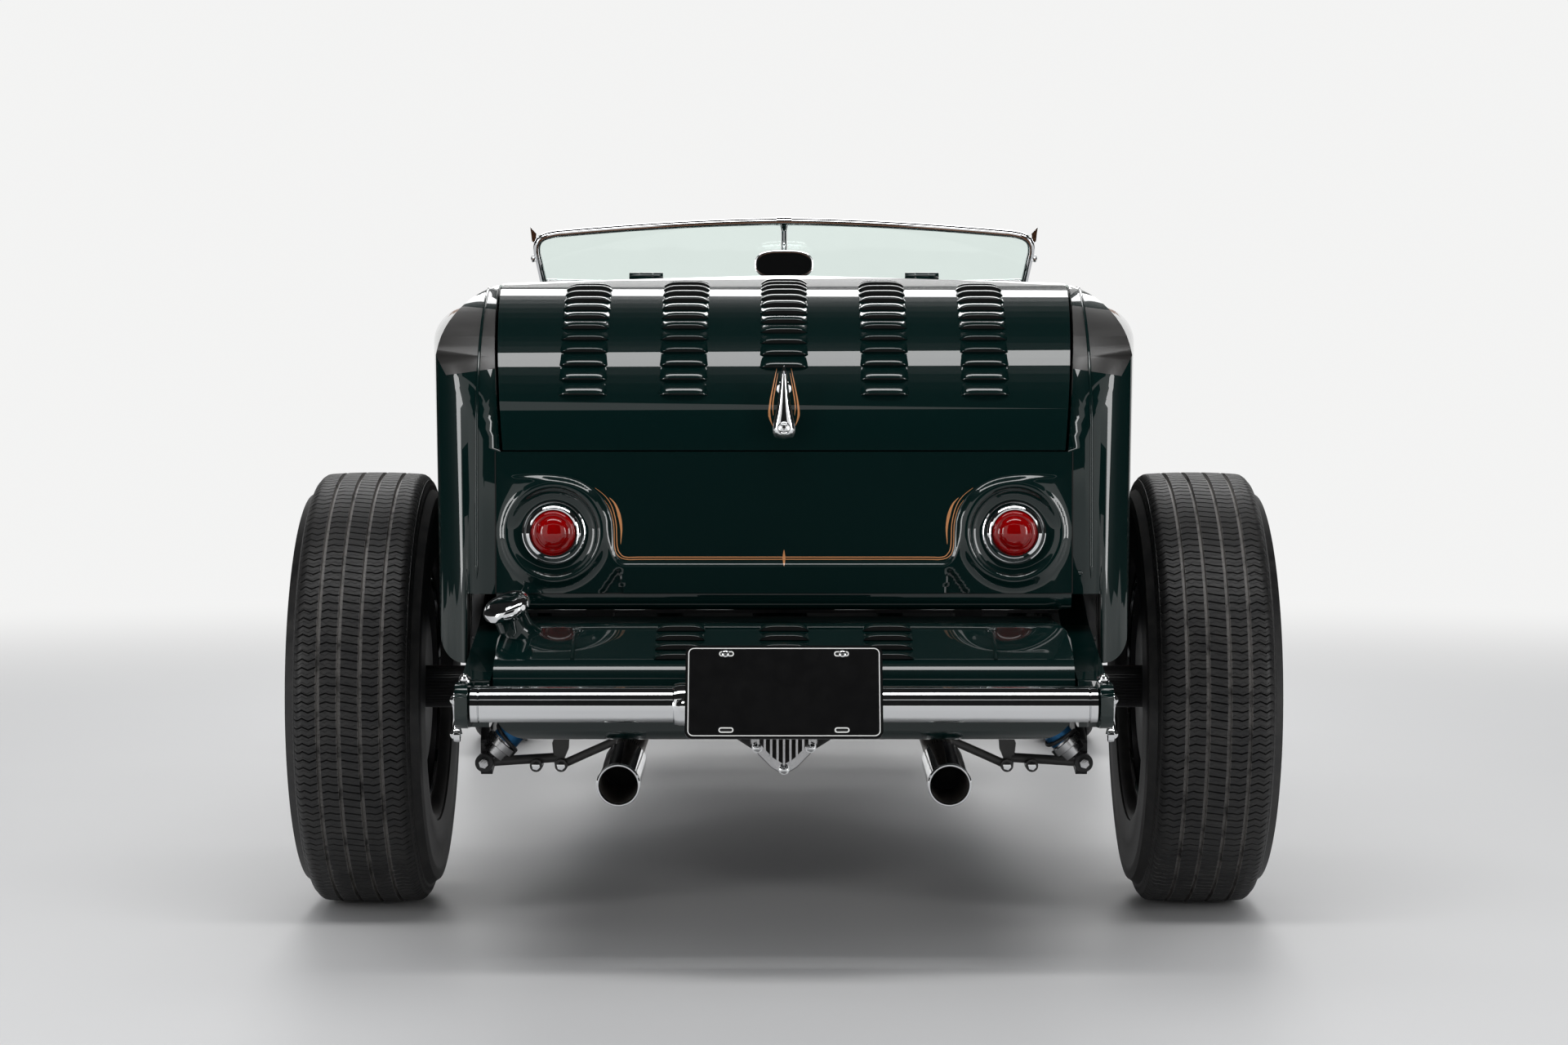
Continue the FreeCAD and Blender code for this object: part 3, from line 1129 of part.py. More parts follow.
for node, shape in PIECES.items():
    save(node, shape)
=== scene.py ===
# %% [markdown]
# # A fenderless street rod roadster, dressed in Blender
# The solid model gives every piece its place and size. This lesson gives them their
# look: rounded sheet metal, louvres, tyre treads, chrome, glass and leather.
# Everything is in metres in the frame of the solid model: +Y is the front of the car,
# +X its right side and +Z up. Lengths in the tables are in millimetres from the floor
# under the rear axle, as a builder would measure them, and `at` turns them into places.

# %% Load the fixed frame
import bpy, bmesh, json, math
import numpy as np
from mathutils import Matrix, Vector
from mathutils.bvhtree import BVHTree

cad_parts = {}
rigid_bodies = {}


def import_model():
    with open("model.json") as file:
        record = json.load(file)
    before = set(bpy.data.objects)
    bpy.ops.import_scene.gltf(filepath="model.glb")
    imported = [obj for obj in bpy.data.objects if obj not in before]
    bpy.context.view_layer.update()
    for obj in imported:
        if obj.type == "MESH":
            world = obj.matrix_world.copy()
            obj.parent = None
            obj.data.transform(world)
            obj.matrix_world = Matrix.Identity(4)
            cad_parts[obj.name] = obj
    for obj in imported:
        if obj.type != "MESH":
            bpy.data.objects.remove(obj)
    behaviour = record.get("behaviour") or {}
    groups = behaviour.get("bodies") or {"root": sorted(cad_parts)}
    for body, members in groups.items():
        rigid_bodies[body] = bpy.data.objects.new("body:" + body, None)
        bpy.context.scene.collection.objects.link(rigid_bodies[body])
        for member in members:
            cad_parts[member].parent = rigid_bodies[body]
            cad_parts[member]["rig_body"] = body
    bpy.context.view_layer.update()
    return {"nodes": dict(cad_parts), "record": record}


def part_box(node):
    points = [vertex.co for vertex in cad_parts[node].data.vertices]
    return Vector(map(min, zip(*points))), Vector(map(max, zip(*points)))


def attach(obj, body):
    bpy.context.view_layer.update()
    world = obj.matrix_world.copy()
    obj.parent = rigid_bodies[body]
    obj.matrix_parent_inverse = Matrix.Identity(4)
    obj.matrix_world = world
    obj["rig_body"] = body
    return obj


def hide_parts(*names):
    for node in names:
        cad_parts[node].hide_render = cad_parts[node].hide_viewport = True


for leftover in list(bpy.data.objects):
    bpy.data.objects.remove(leftover)
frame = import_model()
slots = {part["node"]: part["material_slot"] for part in frame["record"]["subparts"]}
scene = bpy.context.scene
AXLE_BEHIND_MIDDLE = 1102.5388


def at(x, y, z):
    """A place in millimetres from the floor under the rear axle, as a point of the frame."""
    return Vector((x / 1000, (y - AXLE_BEHIND_MIDDLE) / 1000, z / 1000))


# %% [markdown]
# ## Shader maths as plain expressions
# A finish is a small program made of nodes. Wrapping a socket in a class that answers to
# + - * / lets the program be written as an expression, and each operator adds its node.

# %% A wrapped socket and a board of nodes
class Flow:
    """A socket whose arithmetic adds Math nodes to its tree."""

    def __init__(self, board, socket):
        self.board, self.socket = board, socket

    def maths(self, operation, *others):
        return self.board.node("ShaderNodeMath", {"operation": operation}, [self, *others])

    def __add__(self, other):
        return self.maths("ADD", other)

    def __mul__(self, other):
        return self.maths("MULTIPLY", other)

    def __sub__(self, other):
        return self.maths("SUBTRACT", other)

    def __rsub__(self, other):
        return self.board.node("ShaderNodeMath", {"operation": "SUBTRACT"}, [other, self])

    def __truediv__(self, other):
        return self.maths("DIVIDE", other)

    __radd__, __rmul__ = __add__, __mul__

    def step(self, low, high):
        """0 below low, 1 above high and a smooth rise between; low may be the larger."""
        return self.board.node("ShaderNodeMapRange", {"interpolation_type": "SMOOTHSTEP"},
                               {"Value": self, "From Min": low, "From Max": high})


class Board:
    """A node tree, and one method that adds any node to it."""

    def __init__(self, tree):
        self.tree = tree

    def node(self, kind, settings=None, sockets=None, out=0):
        made = self.tree.nodes.new(kind)
        for key, value in (settings or {}).items():
            if key == "stops":
                while len(made.color_ramp.elements) < len(value):
                    made.color_ramp.elements.new(0.5)
                for stop, (place, colour) in zip(made.color_ramp.elements, value):
                    stop.position, stop.color = place, (*colour, 1)
            else:
                setattr(made, key, value)
        named = sockets.items() if isinstance(sockets, dict) else enumerate(sockets or [])
        for key, value in named:
            self.feed(made.inputs[key], value)
        return Flow(self, made.outputs[out])

    def feed(self, socket, value):
        if isinstance(value, Flow):
            self.tree.links.new(value.socket, socket)
        elif value is not None:
            socket.default_value = value


# %% [markdown]
# A finish always needs the same few things: the place on the piece, noise at some scale,
# a blend of two colours, a bump, and the main shader. `Finish` offers them as methods.
# Constant numbers go straight onto the shader's own sockets; only colour, roughness,
# metal, coat and the normal are allowed to vary over a surface.

# %% The finish helper
class Finish(Board):
    def __init__(self, name):
        self.material = bpy.data.materials.new(name)
        self.material.use_nodes = True
        super().__init__(self.material.node_tree)
        self.tree.nodes.clear()
        self.place = self.node("ShaderNodeTexCoord", out=3)

    def noise(self, scale, detail=3.0, roughness=0.5, place=None):
        return self.node("ShaderNodeTexNoise", None, {"Vector": place or self.place, "Scale": scale,
                         "Detail": detail, "Roughness": roughness})

    def cells(self, scale, feature="F1", place=None):
        return self.node("ShaderNodeTexVoronoi", {"feature": feature}, {"Vector": place or self.place,
                         "Scale": scale})

    def stretched(self, scale, turn=(0, 0, 0)):
        return self.node("ShaderNodeMapping", None, {"Vector": self.place, "Scale": scale, "Rotation": turn})

    def part_of(self, axis, place=None):
        return self.node("ShaderNodeSeparateXYZ", None, [place or self.place], out=axis)

    def mix(self, share, first, second):
        """A colour between first (share 0) and second (share 1)."""
        made = self.tree.nodes.new("ShaderNodeMix")
        made.data_type = "RGBA"
        for index, value in ((0, share), (6, first), (7, second)):
            self.feed(made.inputs[index], (*value, 1) if isinstance(value, tuple) else value)
        return Flow(self, made.outputs[2])

    def bump(self, height, depth, strength=1.0, after=None):
        return self.node("ShaderNodeBump", None, {"Height": height, "Distance": depth, "Strength": strength,
                         "Normal": after})

    def done(self, **sockets):
        names = {"base": "Base Color", "metal": "Metallic", "rough": "Roughness", "normal": "Normal",
                 "coat": "Coat Weight", "coat_rough": "Coat Roughness", "through": "Transmission Weight",
                 "ior": "IOR", "sheen": "Sheen Weight", "specular": "Specular IOR Level"}
        shader = self.tree.nodes.new("ShaderNodeBsdfPrincipled")
        for key, value in sockets.items():
            if isinstance(value, tuple) and len(value) == 3:
                value = (*value, 1)
            self.feed(shader.inputs[names[key]], value)
        output = self.tree.nodes.new("ShaderNodeOutputMaterial")
        self.tree.links.new(shader.outputs[0], output.inputs[0])
        return self.material


# %% [markdown]
# ## Paint, chrome, rubber and the rest
# The body wears deep green paint under clear lacquer. Real lacquer is never perfectly
# flat, so a faint long-wave ripple feeds its bump, and fine metal flake changes the
# colour by a hair. Chrome is nearly white metal with a few polishing smears in its
# roughness. Rubber is dark grey, dusty where it has rolled.

# %% Body paint
def make_green_paint():
    f = Finish("deep_green_lacquer")
    flake = f.cells(2600).step(0.2, 0.9)
    shade = f.noise(1.7, 2)
    base = f.mix(flake * 0.35 + shade * 0.3, (0.0004, 0.0066, 0.0062), (0.0009, 0.0125, 0.0112))
    ripple = f.noise(9, 2) + f.noise(240, 2) * 0.05
    return f.done(base=base, rough=f.noise(30, 3) * 0.05 + 0.3, coat=1.0, coat_rough=0.02,
                  specular=0.06, normal=f.bump(ripple, 0.0006, 0.12))


def make_chrome(name="chrome", tint=(0.80, 0.81, 0.82), rough=0.035):
    f = Finish(name)
    smear = f.noise(40, 4, 0.65, f.stretched((1, 1, 0.25)))
    base = f.mix(f.noise(6, 2), tint, tuple(c * 0.93 for c in tint))
    return f.done(base=base, metal=1.0, rough=smear.step(0.45, 0.75) * 0.05 + rough,
                  normal=f.bump(f.noise(18, 1), 0.0004, 0.06))


def make_satin_steel(name="black_steel", dark=(0.010, 0.010, 0.011), light=(0.022, 0.022, 0.023), rough=0.38):
    f = Finish(name)
    dust = f.noise(14, 4, 0.6)
    grain = f.noise(700, 2)
    return f.done(base=f.mix(dust, dark, light), rough=dust * 0.16 + rough, coat=0.25, coat_rough=0.25,
                  normal=f.bump(grain + dust * 0.4, 0.0004, 0.25))


def make_metal(name, tint, rough, grain_scale=300.0, grain=0.3, streak=(1, 1, 1)):
    f = Finish(name)
    grit = f.noise(grain_scale, 3, 0.6, f.stretched(streak))
    cloud = f.noise(12, 3)
    base = f.mix(cloud * 0.7 + grit * 0.3, tint, tuple(c * 0.72 for c in tint))
    return f.done(base=base, metal=1.0, rough=grit * 0.14 + cloud * 0.08 + rough,
                  normal=f.bump(grit, 0.0005, grain))


green_paint = make_green_paint()
chrome = make_chrome()
black_steel = make_satin_steel()
frame_black = make_satin_steel("satin_rod_black", (0.016, 0.016, 0.016), (0.04, 0.038, 0.036), 0.34)
polished_aluminium = make_metal("polished_aluminium", (0.74, 0.74, 0.75), 0.14, 420, 0.18)
steel_pipe = make_metal("brushed_pipe", (0.50, 0.47, 0.44), 0.26, 160, 0.2, (1, 0.08, 1))
print("metal and paint finishes ready")

# %% [markdown]
# Rubber needs two scales: the dust in the grooves and the fine cuts across every rib. The
# tread carries its own map, whose first number runs once round the tyre and whose second
# crosses it, a hundred at each edge, so the cuts follow the ribs and dust fills the
# grooves. Iron, glass, leather and carpet follow, each with the grain that a hand would
# feel on the real thing.

# %% Rubber, glass, leather, plain finishes and carpet
def make_rubber():
    f = Finish("tyre_rubber")
    dust = f.noise(35, 5, 0.65)
    wear = f.noise(380, 3, 0.7)
    base = f.mix(dust.step(0.35, 0.75), (0.006, 0.006, 0.0065), (0.018, 0.017, 0.016))
    return f.done(base=base, rough=wear * 0.12 + dust * 0.10 + 0.40, specular=0.45,
                  normal=f.bump(wear + dust, 0.0006, 0.35))


CUTS_ROUND_TREAD = 300
GROOVE_PLACES = (21.0, 62.0)


def make_tread_rubber():
    f = Finish("tread_rubber")
    turn = f.node("ShaderNodeUVMap", {"uv_map": "round_and_across"})
    round_it, across = f.part_of(0, turn), f.part_of(1, turn)
    wobble = f.noise(1, 2, 0.5, turn) - 0.5
    wave = (across * 0.36).maths("SINE") * 0.22
    lane = (round_it * CUTS_ROUND_TREAD + wave + wobble * 0.6).maths("FRACT")
    cut = lane.step(0.02, 0.07) * lane.step(0.98, 0.93)
    dust = f.noise(30, 5, 0.65)
    grit = f.noise(420, 3, 0.7)
    base = f.mix(dust.step(0.3, 0.8), (0.006, 0.006, 0.0065), (0.019, 0.018, 0.017))
    # the slits are coloured darker than the ribs: painted shade inside each cut
    base = f.mix(1 - cut, base, (0.0025, 0.0025, 0.0025))
    from_middle = across.maths("ABSOLUTE")
    inner, outer = ((from_middle - place).maths("ABSOLUTE").step(5.0, 3.0) for place in GROOVE_PLACES)
    grooves = inner + outer
    base = f.mix(grooves * dust.step(0.25, 0.55), base, (0.20, 0.19, 0.18))
    return f.done(base=base, rough=grit * 0.15 + 0.42, specular=0.45,
                  normal=f.bump(cut + grit * 0.12, 0.0022, 0.8))


def make_glass(name, tint, through=1.0, rough=0.0):
    f = Finish(name)
    haze = f.noise(9, 4, 0.7)
    return f.done(base=f.mix(haze, tint, tuple(c * 0.95 for c in tint)), through=through, ior=1.47,
                  rough=haze.step(0.5, 0.9) * 0.03 + rough, normal=f.bump(f.noise(5, 1), 0.0004, 0.05))


def make_red_lens():
    f = Finish("ruby_glass")
    depth = f.noise(60, 2)
    base = f.mix(depth, (0.46, 0.0010, 0.0020), (0.26, 0.0006, 0.0012))
    return f.done(base=base, through=0.45, ior=1.5, rough=depth * 0.02 + 0.01,
                  normal=f.bump(f.cells(130), 0.0004, 0.08))


def make_leather(name, dark, light):
    f = Finish(name)
    pores = f.cells(520, "DISTANCE_TO_EDGE").step(0.0, 0.16)
    crease = f.noise(16, 5, 0.6)
    worn = f.noise(5, 3)
    base = f.mix(pores * 0.45 + worn * 0.55, dark, light)
    return f.done(base=base, rough=(1 - pores) * 0.15 + worn * 0.12 + 0.36, sheen=0.08, specular=0.45,
                  normal=f.bump(pores * 0.6 + crease, 0.0012, 0.45))


def make_plain(name, dark, light, rough, scale=260.0, depth=0.0004, metal=0.0, coat=0.0):
    f = Finish(name)
    grain = f.noise(scale, 4, 0.65)
    cloud = f.noise(scale / 30, 3)
    return f.done(base=f.mix(grain * 0.5 + cloud * 0.5, dark, light), metal=metal, coat=coat, coat_rough=0.06,
                  rough=grain * 0.14 + cloud * 0.06 + rough, normal=f.bump(grain, depth, 0.5))


def make_carpet():
    f = Finish("loop_carpet")
    loops = f.cells(330)
    tone = f.noise(8, 3)
    base = f.mix(loops * 0.7 + tone * 0.4, (0.014, 0.012, 0.010), (0.05, 0.042, 0.035))
    return f.done(base=base, rough=0.93, sheen=0.25, specular=0.2, normal=f.bump(1 - loops, 0.004, 0.9))


tyre_rubber, tread_rubber = make_rubber(), make_tread_rubber()
clear_glass = make_glass("windshield_glass", (0.86, 0.96, 0.92))
lamp_glass = make_glass("headlamp_glass", (0.97, 0.98, 0.97))
ruby_glass = make_red_lens()
tan_leather = make_leather("tan_leather", (0.135, 0.052, 0.020), (0.285, 0.125, 0.055))
black_leather = make_leather("black_leather", (0.008, 0.008, 0.008), (0.024, 0.023, 0.022))
cast_iron = make_plain("cast_iron", (0.035, 0.034, 0.033), (0.085, 0.08, 0.075), 0.58, 180, 0.0015, 0.35)
plate_black = make_plain("plate_black", (0.0030, 0.0030, 0.0032), (0.0042, 0.0042, 0.0044), 0.10,
                         40, 0.00005, 0, 0.3)
pale_enamel = make_plain("pale_enamel", (0.62, 0.62, 0.60), (0.72, 0.72, 0.70), 0.3, 120, 0.0002)
copper_stripe = make_plain("copper_stripe_paint", (0.43, 0.17, 0.055), (0.56, 0.25, 0.10), 0.30,
                           500, 0.0001, 0, 0.9)
blue_band = make_plain("blue_anodising", (0.012, 0.10, 0.26), (0.035, 0.19, 0.40), 0.28, 200, 0.0002, 0.6)
# near black: the real dark of the tail panel's joints, and painted shade in the louvre slots, the keyway, the
# wheel vents, the plate slots and deep in the exhaust tips
dark_gap = make_plain("dark_gap", (0.0012, 0.0014, 0.0014), (0.003, 0.003, 0.003), 0.8, 60)
carpet = make_carpet()
print("rubber, glass, leather and carpet ready")
# %% [markdown]
# ## Building pieces from corners and faces
# A piece is gathered part by part: a turned form, a bent tube, a flat plate, a grid of
# heights. Each part may have its own finish. When the piece is complete its doubled
# corners are merged, its faces turned outwards and its flat edges marked sharp.

# %% Finished pieces and carried-over solids
def shade(mesh, angle):
    mesh.shade_smooth()
    mesh.set_sharp_from_angle(angle=math.radians(angle))


def settle(obj, body, replaces=()):
    """Hang a finished object on its body and hide the solids that it stands for."""
    if obj.name not in scene.collection.objects:
        scene.collection.objects.link(obj)
    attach(obj, body)
    if replaces:
        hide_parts(*replaces)
    return obj


def carry(node, finish, angle=32, change=None, name=None):
    """The solid node itself, merged so that it can be shaded smooth, in one or more finishes.
    change may move corners or mark faces with the number of their finish."""
    source = frame["nodes"][node]
    bm = bmesh.new()
    bm.from_mesh(source.data)
    bmesh.ops.remove_doubles(bm, verts=bm.verts, dist=1e-5)
    if change:
        change(bm)
    mesh = bpy.data.meshes.new(name or node + "_skin")
    bm.to_mesh(mesh)
    bm.free()
    shade(mesh, angle)
    for each in finish if isinstance(finish, (list, tuple)) else [finish]:
        mesh.materials.append(each)
    obj = bpy.data.objects.new(name or node + "_skin", mesh)
    obj.modifiers.new("flat faces stay flat", "WEIGHTED_NORMAL").keep_sharp = True
    return settle(obj, source["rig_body"], [node])


class Piece:
    """Collects the parts of one piece. Places are Vectors in metres, sizes are in metres."""

    def __init__(self, name):
        self.name, self.corners, self.faces, self.marks = name, [], [], []

    def add(self, corners, faces, mark=0):
        start = len(self.corners)
        self.corners += [tuple(c) for c in corners]
        self.faces += [[start + i for i in face] for face in faces]
        self.marks += [mark] * len(faces)
        return self

    def turned(self, outline, centre, axis, mark=0, steps=64):
        """A form of revolution. The outline holds (along, radius) in millimetres; a closed
        wall is given by ending the outline where it starts."""
        axis = Vector(axis).normalized()
        side = axis.orthogonal().normalized()
        other = axis.cross(side)
        corners, rings, faces = [], [], []
        for along, radius in outline:
            here = centre + axis * along / 1000
            if radius <= 1e-6:
                rings.append([len(corners)] * steps)
                corners.append(here)
                continue
            rings.append(list(range(len(corners), len(corners) + steps)))
            for i in range(steps):
                a = 2 * math.pi * i / steps
                corners.append(here + (side * math.cos(a) + other * math.sin(a)) * radius / 1000)
        for low, high in zip(rings, rings[1:]):
            for i in range(steps):
                j = (i + 1) % steps
                face = [low[i], low[j], high[j], high[i]]
                kept = [c for k, c in enumerate(face) if c not in face[:k]]
                if len(kept) > 2:
                    faces.append(kept)
        return self.add(corners, faces, mark)

    def tube(self, path, radius, mark=0, sides=16, closed=False, flat=None):
        """A round bar along close-set points; radius may be one number or one for each point.
        flat squeezes the section along that direction."""
        count = len(path)
        radii = radius if isinstance(radius, (list, tuple)) else [radius] * count
        corners, faces = [], []
        normal = None
        for i, point in enumerate(path):
            ahead = path[(i + 1) % count] if closed or i < count - 1 else path[i]
            behind = path[i - 1] if closed or i > 0 else path[i]
            run = (ahead - behind).normalized()
            normal = run.orthogonal() if normal is None else normal - run * normal.dot(run)
            normal.normalize()
            side = run.cross(normal)
            for k in range(sides):
                a = 2 * math.pi * k / sides
                offset = (normal * math.cos(a) + side * math.sin(a)) * radii[i] / 1000
                if flat:
                    across, share = flat
                    offset -= across * offset.dot(across) * (1 - share)
                corners.append(point + offset)
        for i in range(count if closed else count - 1):
            j = (i + 1) % count
            for k in range(sides):
                n = (k + 1) % sides
                faces.append([i * sides + k, i * sides + n, j * sides + n, j * sides + k])
        if not closed:
            faces += [list(range(sides))[::-1], list(range((count - 1) * sides, count * sides))]
        return self.add(corners, faces, mark)

    def grid(self, rows, mark=0, closed=False):
        """A sheet through rows of points, every row as long as the first."""
        width = len(rows[0])
        faces = []
        for i in range(len(rows) - 1):
            for k in range(width if closed else width - 1):
                n = (k + 1) % width
                faces.append([i * width + k, i * width + n, (i + 1) * width + n, (i + 1) * width + k])
        return self.add([p for row in rows for p in row], faces, mark)

    def plate(self, outline, push, mark=0, soften=0.0):
        """A flat outline pushed by a vector, its two rims softened by a small bevel."""
        centre = sum(outline, Vector()) / len(outline)
        depth = push.length
        rings = []
        if soften:
            for share, inset in ((0.0, soften), (soften / 1000 / depth, 0.0)):
                rings.append([p + push * share + (centre - p).normalized() * inset / 1000 for p in outline])
            for share, inset in ((1 - soften / 1000 / depth, 0.0), (1.0, soften)):
                rings.append([p + push * share + (centre - p).normalized() * inset / 1000 for p in outline])
        else:
            rings = [outline, [p + push for p in outline]]
        count = len(outline)
        self.grid(rings, mark, closed=True)
        last = len(self.corners) - count
        first = len(self.corners) - count * len(rings)
        self.faces += [list(range(first, first + count))[::-1], list(range(last, last + count))]
        self.marks += [mark, mark]
        return self

    def done(self, body, finishes, slot=None, replaces=(), angle=35, outward=None):
        """The finished object, its faces turned outwards. An open sheet needs to be told
        by outward which way that is."""
        bm = bmesh.new()
        made = [bm.verts.new(c) for c in self.corners]
        for face, mark in zip(self.faces, self.marks):
            try:
                bm.faces.new([made[i] for i in face]).material_index = mark
            except ValueError:
                pass
        bmesh.ops.remove_doubles(bm, verts=bm.verts, dist=2e-6)
        bmesh.ops.recalc_face_normals(bm, faces=bm.faces)
        if outward is not None:
            lean = sum((f.normal * f.calc_area() for f in bm.faces), Vector())
            if lean.dot(Vector(outward)) < 0:
                bmesh.ops.reverse_faces(bm, faces=bm.faces)
        mesh = bpy.data.meshes.new(self.name)
        bm.to_mesh(mesh)
        bm.free()
        shade(mesh, angle)
        for finish in finishes if isinstance(finishes, (list, tuple)) else [finishes]:
            mesh.materials.append(finish)
        obj = bpy.data.objects.new(self.name, mesh)
        return settle(obj, body, replaces)


def smooth_path(points, steps=8, closed=False):
    """Close-set points on a soft curve through a few given ones."""
    count, made = len(points), []
    for i in range(count if closed else count - 1):
        places = [(i + k) % count if closed else min(max(i + k, 0), count - 1) for k in (-1, 0, 1, 2)]
        quad = [points[place] for place in places]
        for s in range(steps):
            t = s / steps
            made.append(0.5 * (quad[1] * 2 + (quad[2] - quad[0]) * t
                        + (quad[0] * 2 - quad[1] * 5 + quad[2] * 4 - quad[3]) * t * t
                        + (quad[1] * 3 - quad[0] - quad[2] * 3 + quad[3]) * t * t * t))
    return made if closed else made + [points[-1]]


print("piece tools ready")
# %% [markdown]
# ## Frame, axles and the plain pieces
# Many pieces of the solid model already have the right form: rails, axles, rods, spring.
# They could be built anew, but that would only copy what is there, so they are carried
# over with smooth shading and a finish of their own.

# %% Carry the solids that keep their shape
carried = {
    "hood_top_left": green_paint, "hood_top_right": green_paint, "hood_sides": green_paint,
    "grille_shell": green_paint, "grille_bars": chrome,
    "chassis_rails": green_paint, "crossmembers": black_steel, "steering_column": chrome,
    "rear_axle": black_steel, "suspension_rods": frame_black, "front_axle": chrome,
    "knuckle_left": black_steel, "knuckle_right": black_steel, "tie_rod": chrome,
    "engine_block": cast_iron, "dash_panel": green_paint,
    "front_spring": black_steel, "radiator": black_steel,
}
for node, finish in carried.items():
    carry(node, finish)
print(len(carried), "solids carried over")
# %% [markdown]
# ## Growing repeats with Geometry Nodes
# Louvres, tread blocks, nuts and coils are one small piece many times over. Modelling each
# by hand would hide the rule that places them, so a node tree holds the rule instead. It is
# run once, its instances are made real, and the plain mesh is kept.

# %% Trees that place copies along a path, round an axle and up a coil
class Grower(Board):
    """A Geometry Nodes tree with named inputs. grow() runs it once and returns a plain mesh."""

    def __init__(self, name, inputs):
        super().__init__(bpy.data.node_groups.new(name, "GeometryNodeTree"))
        face = self.tree.interface
        face.new_socket("Geometry", in_out="INPUT", socket_type="NodeSocketGeometry")
        self.keys = {}
        for label, kind in {**inputs, "Material": "Material"}.items():
            socket = face.new_socket(label, in_out="INPUT", socket_type="NodeSocket" + kind)
            self.keys[label] = socket.identifier
        face.new_socket("Geometry", in_out="OUTPUT", socket_type="NodeSocketGeometry")
        self.entry = self.tree.nodes.new("NodeGroupInput")
        self.outlet = self.tree.nodes.new("NodeGroupOutput")

    def given(self, label):
        return Flow(self, self.entry.outputs[label])

    def copies_on(self, points, turn):
        piece = self.node("GeometryNodeObjectInfo", {"transform_space": "ORIGINAL"},
                          {"Object": self.given("Piece")}, out="Geometry")
        return self.node("GeometryNodeInstanceOnPoints", None,
                         {"Points": points, "Instance": piece, "Rotation": turn})

    def close(self, geometry):
        real = self.node("GeometryNodeRealizeInstances", None, [geometry])
        dressed = self.node("GeometryNodeSetMaterial", None,
                            {"Geometry": real, "Material": self.given("Material")})
        self.feed(self.outlet.inputs[0], dressed)

    def grow(self, mesh, **values):
        carrier = bpy.data.objects.new("carrier", mesh)
        scene.collection.objects.link(carrier)
        modifier = carrier.modifiers.new("grow", "NODES")
        modifier.node_group = self.tree
        for label, value in values.items():
            modifier[self.keys[label]] = value
        bpy.context.view_layer.update()
        seen = carrier.evaluated_get(bpy.context.evaluated_depsgraph_get())
        made = bpy.data.meshes.new_from_object(seen)
        bpy.data.objects.remove(carrier)
        return made


def paths_mesh(paths):
    """Several open paths as one mesh of edges."""
    corners, edges = [], []
    for path in paths:
        start = len(corners)
        corners += [tuple(p) for p in path]
        edges += [(start + i, start + i + 1) for i in range(len(path) - 1)]
    mesh = bpy.data.meshes.new("paths")
    mesh.from_pydata(corners, edges, [])
    return mesh


def make_along_tree():
    """Copies of a piece at even spacing along paths; its Y follows the path, its X stays across."""
    g = Grower("copies_along_paths", {"Piece": "Object", "Spacing": "Float"})
    curve = g.node("GeometryNodeMeshToCurve", None, {"Mesh": g.given("Geometry")})
    stops = g.node("GeometryNodeResampleCurve", {"mode": "LENGTH"},
                   {"Curve": curve, "Length": g.given("Spacing")})
    heading = g.node("GeometryNodeInputTangent")
    turn = g.node("FunctionNodeAlignEulerToVector", {"axis": "Y", "pivot_axis": "X"}, {"Vector": heading})
    g.close(g.copies_on(stops, turn))
    return g


def make_round_tree():
    """Copies of a piece turned evenly round the X axis."""
    g = Grower("copies_round_axle", {"Piece": "Object", "Count": "Int"})
    stops = g.node("GeometryNodeMeshLine", None, {"Count": g.given("Count"), "Offset": (0.0, 0.0, 0.0)})
    index = g.node("GeometryNodeInputIndex")
    angle = index * (2 * math.pi) / g.given("Count")
    turn = g.node("ShaderNodeCombineXYZ", None, {"X": angle})
    g.close(g.copies_on(stops, turn))
    return g


def make_coil_tree():
    """A coil spring that climbs the Z axis."""
    g = Grower("coil_spring", {"Turns": "Float", "Radius": "Float", "Height": "Float", "Wire": "Float"})
    coil = g.node("GeometryNodeCurveSpiral", None,
                  {"Resolution": 28, "Rotations": g.given("Turns"), "Start Radius": g.given("Radius"),
                   "End Radius": g.given("Radius"), "Height": g.given("Height")})
    section = g.node("GeometryNodeCurvePrimitiveCircle", None, {"Resolution": 10, "Radius": g.given("Wire")})
    g.close(g.node("GeometryNodeCurveToMesh", None,
                   {"Curve": coil, "Profile Curve": section, "Fill Caps": True}))
    return g


along_paths, round_axle, coil_spring = make_along_tree(), make_round_tree(), make_coil_tree()


def seed(name, piece):
    """A small piece made only to be copied, kept out of the scene."""
    mesh = bpy.data.meshes.new(name)
    bm = bmesh.new()
    made = [bm.verts.new(c) for c in piece.corners]
    for face in piece.faces:
        bm.faces.new([made[i] for i in face])
    bmesh.ops.remove_doubles(bm, verts=bm.verts, dist=2e-6)
    bmesh.ops.recalc_face_normals(bm, faces=bm.faces)
    bm.to_mesh(mesh)
    bm.free()
    return bpy.data.objects.new(name, mesh)


def grown(name, mesh, body, finish, replaces=(), move=None, angle=35, weld=False):
    """A grown mesh, moved into place and finished."""
    bm = bmesh.new()
    bm.from_mesh(mesh)
    if move is not None:
        bm.transform(move)
    if weld:
        bmesh.ops.remove_doubles(bm, verts=bm.verts, dist=4e-5)
        bmesh.ops.recalc_face_normals(bm, faces=bm.faces)
    bm.to_mesh(mesh)
    bm.free()
    mesh.name = name
    mesh.materials.clear()
    mesh.materials.append(finish)
    shade(mesh, angle)
    return settle(bpy.data.objects.new(name, mesh), body, replaces)


print("three growing trees ready")
# %% [markdown]
# ## The body shell
# The tub keeps the solid's curves. Its outside is lacquer, while the cockpit side of the
# same sheet is trimmed: carpet on the floor and leather on the walls. The wheel side and
# the underside are coated black. Each face is told apart by where it lies and looks.

